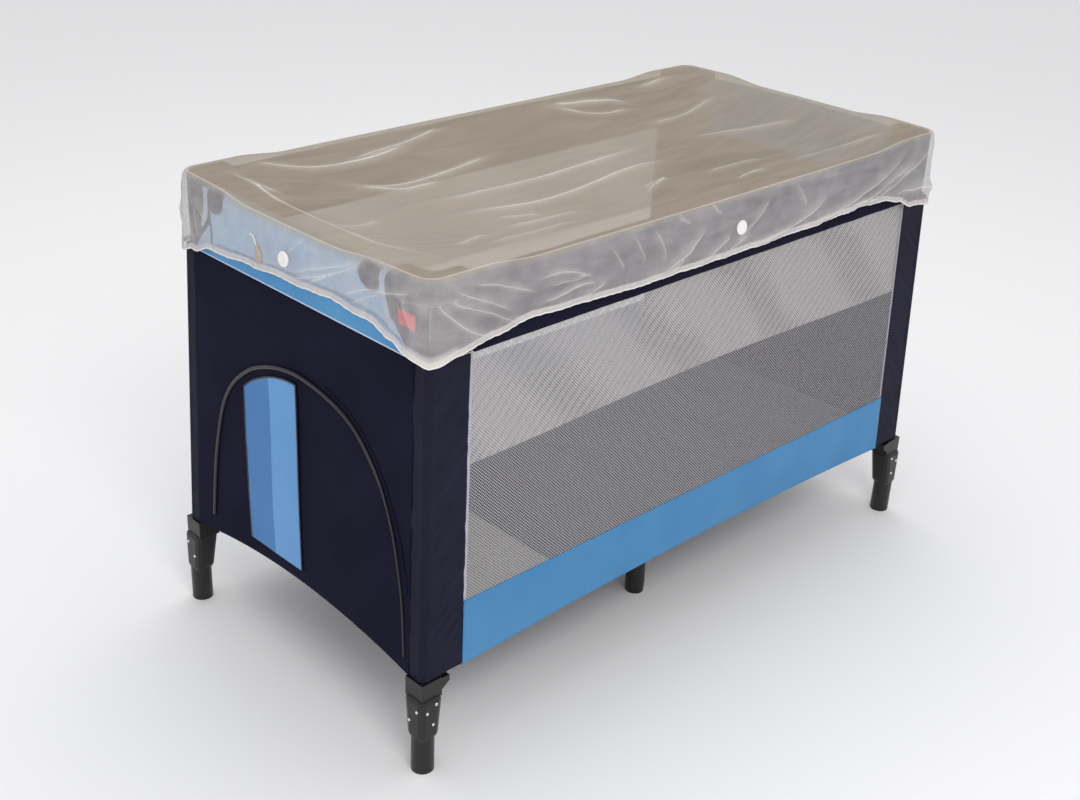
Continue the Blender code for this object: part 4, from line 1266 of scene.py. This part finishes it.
def skirt_shape(u, v, fall, tuck):
    """The skirt's points and values. Tuck counts the hem's way inwards and up again."""
    x, y = rim_plan(u, v)
    out_x, out_y = outward(u, v)
    place = round_rim(u, v)
    ridge = ridge_height(u, v)
    hem = hem_height(place)
    push, bunch, crease, across = skirt_creases(place, fall)
    soft = uneven(place, fall * 0.05, 0.035, 93)
    soft = soft + 0.6 * uneven(place + 0.02 * fall, fall * 0.03, 0.013, 94)
    soft = SOFT_SWELL * (1 + soft) * smoothstep(fall / 0.25)
    turns = place / PUCKER_PITCH + 0.9 * uneven(place, 0 * place, 0.07, 95)
    pucker = 0.5 + 0.5 * np.sin(2 * math.pi * turns)
    gathers = PUCKER_DEPTH * pucker * smoothstep((fall - 0.72) / 0.28)
    flat = flat_round_studs(place)
    push = NET_FLARE * fall + (push + soft) * flat * smoothstep(fall / 0.2) + gathers
    curl = math.pi / 2 * np.clip(fall * 12, 0, 1)
    over = NET_RIDGE_RADIUS * (1 - np.sin(curl))
    start = ridge - NET_RIDGE_RADIUS * (1 - np.cos(curl))
    turned = np.clip(fall - 1 / 12, 0, 1) / (11 / 12)
    z = start + (hem - (ridge - NET_RIDGE_RADIUS)) * turned
    push = push - over - HEM_DEPTH * np.clip(tuck, 0, 1)
    z = z + HEM_TURN_UP * np.clip(tuck - 0.5, 0, 1)
    bunch = bunch + 0.06 * uneven(place, z, 0.02, 96) + 0.05
    bunch = bunch + 0.80 * smoothstep((fall - HEM_FROM) / 0.03)
    bunch = bunch + 0.10 * pucker * smoothstep((fall - 0.7) / 0.3)
    at_corner = smoothstep((0.07 - np.minimum(place, ROUND_THE_RIM - place)) / 0.05)
    bunch = bunch + 0.5 * at_corner * smoothstep((fall - 0.84) / 0.06)
    ridge_line = RIDGE_WHITE * np.exp(-((fall * SKIRT_DROP / 0.005) ** 2))
    across = np.where(ridge_line > crease, -fall * SKIRT_DROP, across)
    crease = np.maximum(crease, ridge_line)
    return np.stack([x + out_x * push, y + out_y * push, z], axis=1), bunch, crease, across


def top_shape(u, v):
    """The top's points and values: level on the rim, sagging and creased inside it."""
    x, y = rim_plan(u, v)
    out_x, out_y = outward(u, v)
    from_rim = np.minimum((1 - np.abs(u)) * NET_HALF_LENGTH, (1 - np.abs(v)) * NET_HALF_WIDTH)
    inset = NET_RIDGE_RADIUS * np.clip(1 - from_rim / 0.024, 0, 1)
    x, y = x - out_x * inset, y - out_y * inset
    inner_x = NET_HALF_LENGTH - NET_EDGE_REST
    inner_y = NET_HALF_WIDTH - NET_EDGE_REST
    across = np.maximum(1 - (y / inner_y) ** 2, 0)
    along = np.maximum(1 - np.abs(x / inner_x) ** 5, 0)
    sag = NET_SAG * across * along
    free = smoothstep(sag / (0.30 * NET_SAG))
    rise = np.zeros_like(x)
    bunch = np.zeros_like(x)
    crease = np.zeros_like(x)
    across = np.full_like(x, FAR_AWAY)
    for half_width, height, share, points in TOP_CREASES:
        profile, signed = crease_line(x, y, points, half_width)
        broad, _ = crease_line(x, y, points, half_width * 3)
        rise = rise + height * (0.65 * profile + 0.35 * broad)
        bunch = np.maximum(bunch, 0.30 * share * profile)
        strength = share * profile**2
        stronger = strength > crease
        crease = np.where(stronger, strength, crease)
        across = np.where(stronger, signed, across)
    swell = 0.0028 * uneven(x * 0.5, y, 0.075, 97) + 0.0014 * uneven(x * 0.35 + y * 0.2, y, 0.026, 98)
    z = ridge_height(u, v) - sag + (rise + swell) * free
    inside = smoothstep(sag / (0.05 * NET_SAG))
    ridge_line = RIDGE_WHITE * np.exp(-((from_rim / 0.005) ** 2))
    across = np.where(ridge_line > crease * inside, from_rim, across)
    crease = np.maximum(crease * inside, ridge_line)
    return np.stack([x, y, z], axis=1), bunch * inside, crease, across


def make_net():
    """The net in one piece, with its four values for the material."""
    bm = bmesh.new()
    bmesh.ops.create_grid(bm, x_segments=300, y_segments=152, size=1.0)
    layers = {name: bm.verts.layers.float.new(name) for name in ("u", "v", "fall", "tuck")}
    for vertex in bm.verts:
        vertex[layers["u"]], vertex[layers["v"]] = vertex.co.x, vertex.co.y
        vertex[layers["fall"]] = -1.0
    border = [edge for edge in bm.edges if edge.is_boundary]
    rows = [(share, 0.0) for share in (0.02, 0.04, 0.06, 0.083)]
    rows += [(share, 0.0) for share in np.linspace(0.12, 1.0, 23)]
    rows += [(1.0, 0.5), (1.0, 0.8), (1.0, 1.1), (1.0, 1.5)]
    for fall, tuck in rows:
        drawn = bmesh.ops.extrude_edge_only(bm, edges=border)["geom"]
        border = [item for item in drawn if isinstance(item, bmesh.types.BMEdge)]
        for item in drawn:
            if isinstance(item, bmesh.types.BMVert):
                item[layers["fall"]], item[layers["tuck"]] = fall, tuck
    mesh = bpy.data.meshes.new("net_cloth")
    bm.to_mesh(mesh)
    bm.free()
    stored = {}
    for name in ("u", "v", "fall", "tuck"):
        stored[name] = np.empty(len(mesh.vertices))
        mesh.attributes[name].data.foreach_get("value", stored[name])
        mesh.attributes.remove(mesh.attributes[name])
    u, v, fall, tuck = (stored[name] for name in ("u", "v", "fall", "tuck"))
    on_top = fall < -0.5
    points = np.empty((len(u), 3))
    values = {name: np.empty(len(u)) for name in ("gather", "crease", "across")}
    hangs = ~on_top
    for chosen, shaped in (
        (on_top, top_shape(u[on_top], v[on_top])),
        (hangs, skirt_shape(u[hangs], v[hangs], fall[hangs], tuck[hangs])),
    ):
        points[chosen] = shaped[0]
        for stored_value, part in zip(values.values(), shaped[1:]):
            stored_value[chosen] = part
    set_coordinates(mesh, points)
    values["level"] = np.where(on_top, 1.0, 1 - fall / 0.08)
    for name in ("gather", "crease", "level"):
        values[name] = np.clip(values[name], 0, 1)
    for name, numbers in values.items():
        mesh.attributes.new(name, "FLOAT", "POINT").data.foreach_set("value", numbers)
    bm = bmesh.new()
    bm.from_mesh(mesh)
    bm.normal_update()
    middle = min(bm.faces, key=lambda face: face.calc_center_median().xy.length)
    if middle.normal.z < 0:
        bmesh.ops.reverse_faces(bm, faces=bm.faces)
    bm.to_mesh(mesh)
    bm.free()
    return show("net_cloth", mesh, NET)


net = make_net()
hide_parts("net")
print("net:", len(net.data.polygons), "faces")

# %% [markdown]
# ## The elastic in the hem
#
# The hem is folded over a thin elastic cord, which bunches it into a line of small white puckers. The
# cord follows the same hem line as the cloth.


# %% The elastic cord of the hem
def hem_path(count, inwards, lift):
    """Points along the hem, a little inside it and above its lower edge."""
    place = np.linspace(0, ROUND_THE_RIM, count, endpoint=False)
    length, width = 2 * NET_HALF_LENGTH, 2 * NET_HALF_WIDTH
    side = np.searchsorted([length, length + width, 2 * length + width], place, side="right")
    one = np.ones(count)
    back = place - length - width
    u = np.choose(side, [place / length * 2 - 1, one, 1 - back / length * 2, -one])
    v = np.choose(side, [-one, (place - length) / width * 2 - 1, one, 1 - (back - length) / width * 2])
    points = skirt_shape(u, v, one, np.zeros(count))[0]
    out_x, out_y = outward(u, v)
    points[:, 0] -= out_x * inwards
    points[:, 1] -= out_y * inwards
    points[:, 2] += lift
    return points


cord_mesh = tube("hem_elastic", hem_path(1400, 0.0006, 0.0012), 0.0013, sides=6, steps=1400, closed=True)
hem_cord = show("hem_elastic", cord_mesh, HEM_CORD)
print("hem cord:", len(hem_cord.data.polygons), "faces")

# %% [markdown]
# ## Studs and pull
#
# A white stud sits at the middle of the front and of the near end. Each is turned from its profile,
# with a low rim and a shallow dish, and laid where the frame has its solid.


# %% Studs and the pull
def lie_of(node):
    """Middle and outward normal of a flat solid of the frame."""
    points = coordinates(node.data)
    middle = (points.min(axis=0) + points.max(axis=0)) / 2
    _, _, axes = np.linalg.svd(points - points.mean(axis=0), full_matrices=False)
    normal = axes[2]
    return middle, normal * (1 if normal @ middle > 0 else -1)


STUD = [
    (0.0, 0.0012), (0.0050, 0.0013), (0.0078, 0.0018), (0.0098, 0.0020), (0.0112, 0.0016),
    (0.0121, 0.0006), (0.0125, -0.0006), (0.0123, -0.0015), (0.0, -0.0015),
]  # fmt: skip
for name in STUD_PLACES:
    node = NODES["net_stud_" + name]
    middle, normal = lie_of(node)
    stud_mesh = dome("stud_" + name, STUD, facing_matrix(middle, normal), 40)
    stud = show("stud_" + name, stud_mesh, WHITE)
    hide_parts("net_stud_" + name)
pull_node = NODES["net_pull"]
pull_node.material_slots[0].material = BEIGE
middle, normal = lie_of(pull_node)
string = [
    middle + np.array([-0.0002, 0.006, 0.012]),
    middle + np.array([-0.0004, 0.009, 0.019]),
    middle + np.array([-0.0004, 0.014, 0.025]),
    middle + np.array([-0.0002, 0.020, 0.026]),
    middle + np.array([0.0002, 0.023, 0.022]),
]
string_mesh = tube("pull_string", rounded(string, 3), 0.0009, steps=40, up=(-1.0, 0.0, 0.0))
show("pull_string", string_mesh, HEM_CORD)
print("studs and pull placed")

# %% [markdown]
# ## Camera, light and floor
#
# The camera stands where the photo was taken from. The light is soft and comes mostly from above and
# from the camera's side, over a plain pale floor.

# %% Camera
CAMERA_PLACE = Vector((-1.8032, -1.7071, 1.5551))
CAMERA_AZIMUTH = math.radians(-45.143)
CAMERA_DIP = math.radians(26.369)
CAMERA_ROLL = math.radians(2.767)
LENS_MM = 48.865
forward = Vector(
    (
        -math.sin(CAMERA_AZIMUTH) * math.cos(CAMERA_DIP),
        math.cos(CAMERA_AZIMUTH) * math.cos(CAMERA_DIP),
        -math.sin(CAMERA_DIP),
    )
)
level_right = forward.cross(Vector((0, 0, 1))).normalized()
level_up = level_right.cross(forward)
right = level_right * math.cos(CAMERA_ROLL) + level_up * math.sin(CAMERA_ROLL)
upward = level_up * math.cos(CAMERA_ROLL) - level_right * math.sin(CAMERA_ROLL)
lens = bpy.data.cameras.new("photo camera")
lens.lens = LENS_MM
lens.sensor_width = 36.0
lens.sensor_fit = "HORIZONTAL"
lens.dof.use_dof = False
camera = bpy.data.objects.new("photo camera", lens)
turn = Matrix((right, upward, -forward)).transposed().to_4x4()
camera.matrix_world = Matrix.Translation(CAMERA_PLACE) @ turn
bpy.context.scene.collection.objects.link(camera)
bpy.context.scene.camera = camera

# %% World, lights and floor
scene = bpy.context.scene
scene.view_settings.view_transform = "Standard"
world = bpy.data.worlds.new("pale room")
scene.world = world
world.use_nodes = True
world.node_tree.nodes["Background"].inputs["Color"].default_value = linear("#f4f4f6")
world.node_tree.nodes["Background"].inputs["Strength"].default_value = 0.85


def area_light(name, place, target, size, power):
    """A soft rectangular light aimed at a point."""
    lamp = bpy.data.lights.new(name, "AREA")
    lamp.shape = "RECTANGLE"
    lamp.size, lamp.size_y = size
    lamp.energy = power
    obj = bpy.data.objects.new(name, lamp)
    obj.location = place
    obj.rotation_euler = (Vector(target) - Vector(place)).to_track_quat("-Z", "Y").to_euler()
    scene.collection.objects.link(obj)


area_light("key", (-1.6, -2.6, 3.0), (0.0, 0.0, 0.5), (1.6, 1.2), 42)
area_light("top fill", (0.6, 0.9, 3.4), (0.0, 0.0, 0.6), (2.5, 2.0), 22)

bm = bmesh.new()
bmesh.ops.create_grid(bm, x_segments=2, y_segments=2, size=9.0)
floor_mesh = bpy.data.meshes.new("pale_floor")
bm.to_mesh(floor_mesh)
bm.free()
floor_material, _, _ = start_material("pale_matt_floor", "#f6f6f6", 0.9)
floor_mesh.materials.append(floor_material)
floor = bpy.data.objects.new("pale_floor", floor_mesh)
scene.collection.objects.link(floor)
print("camera, lights and floor ready")
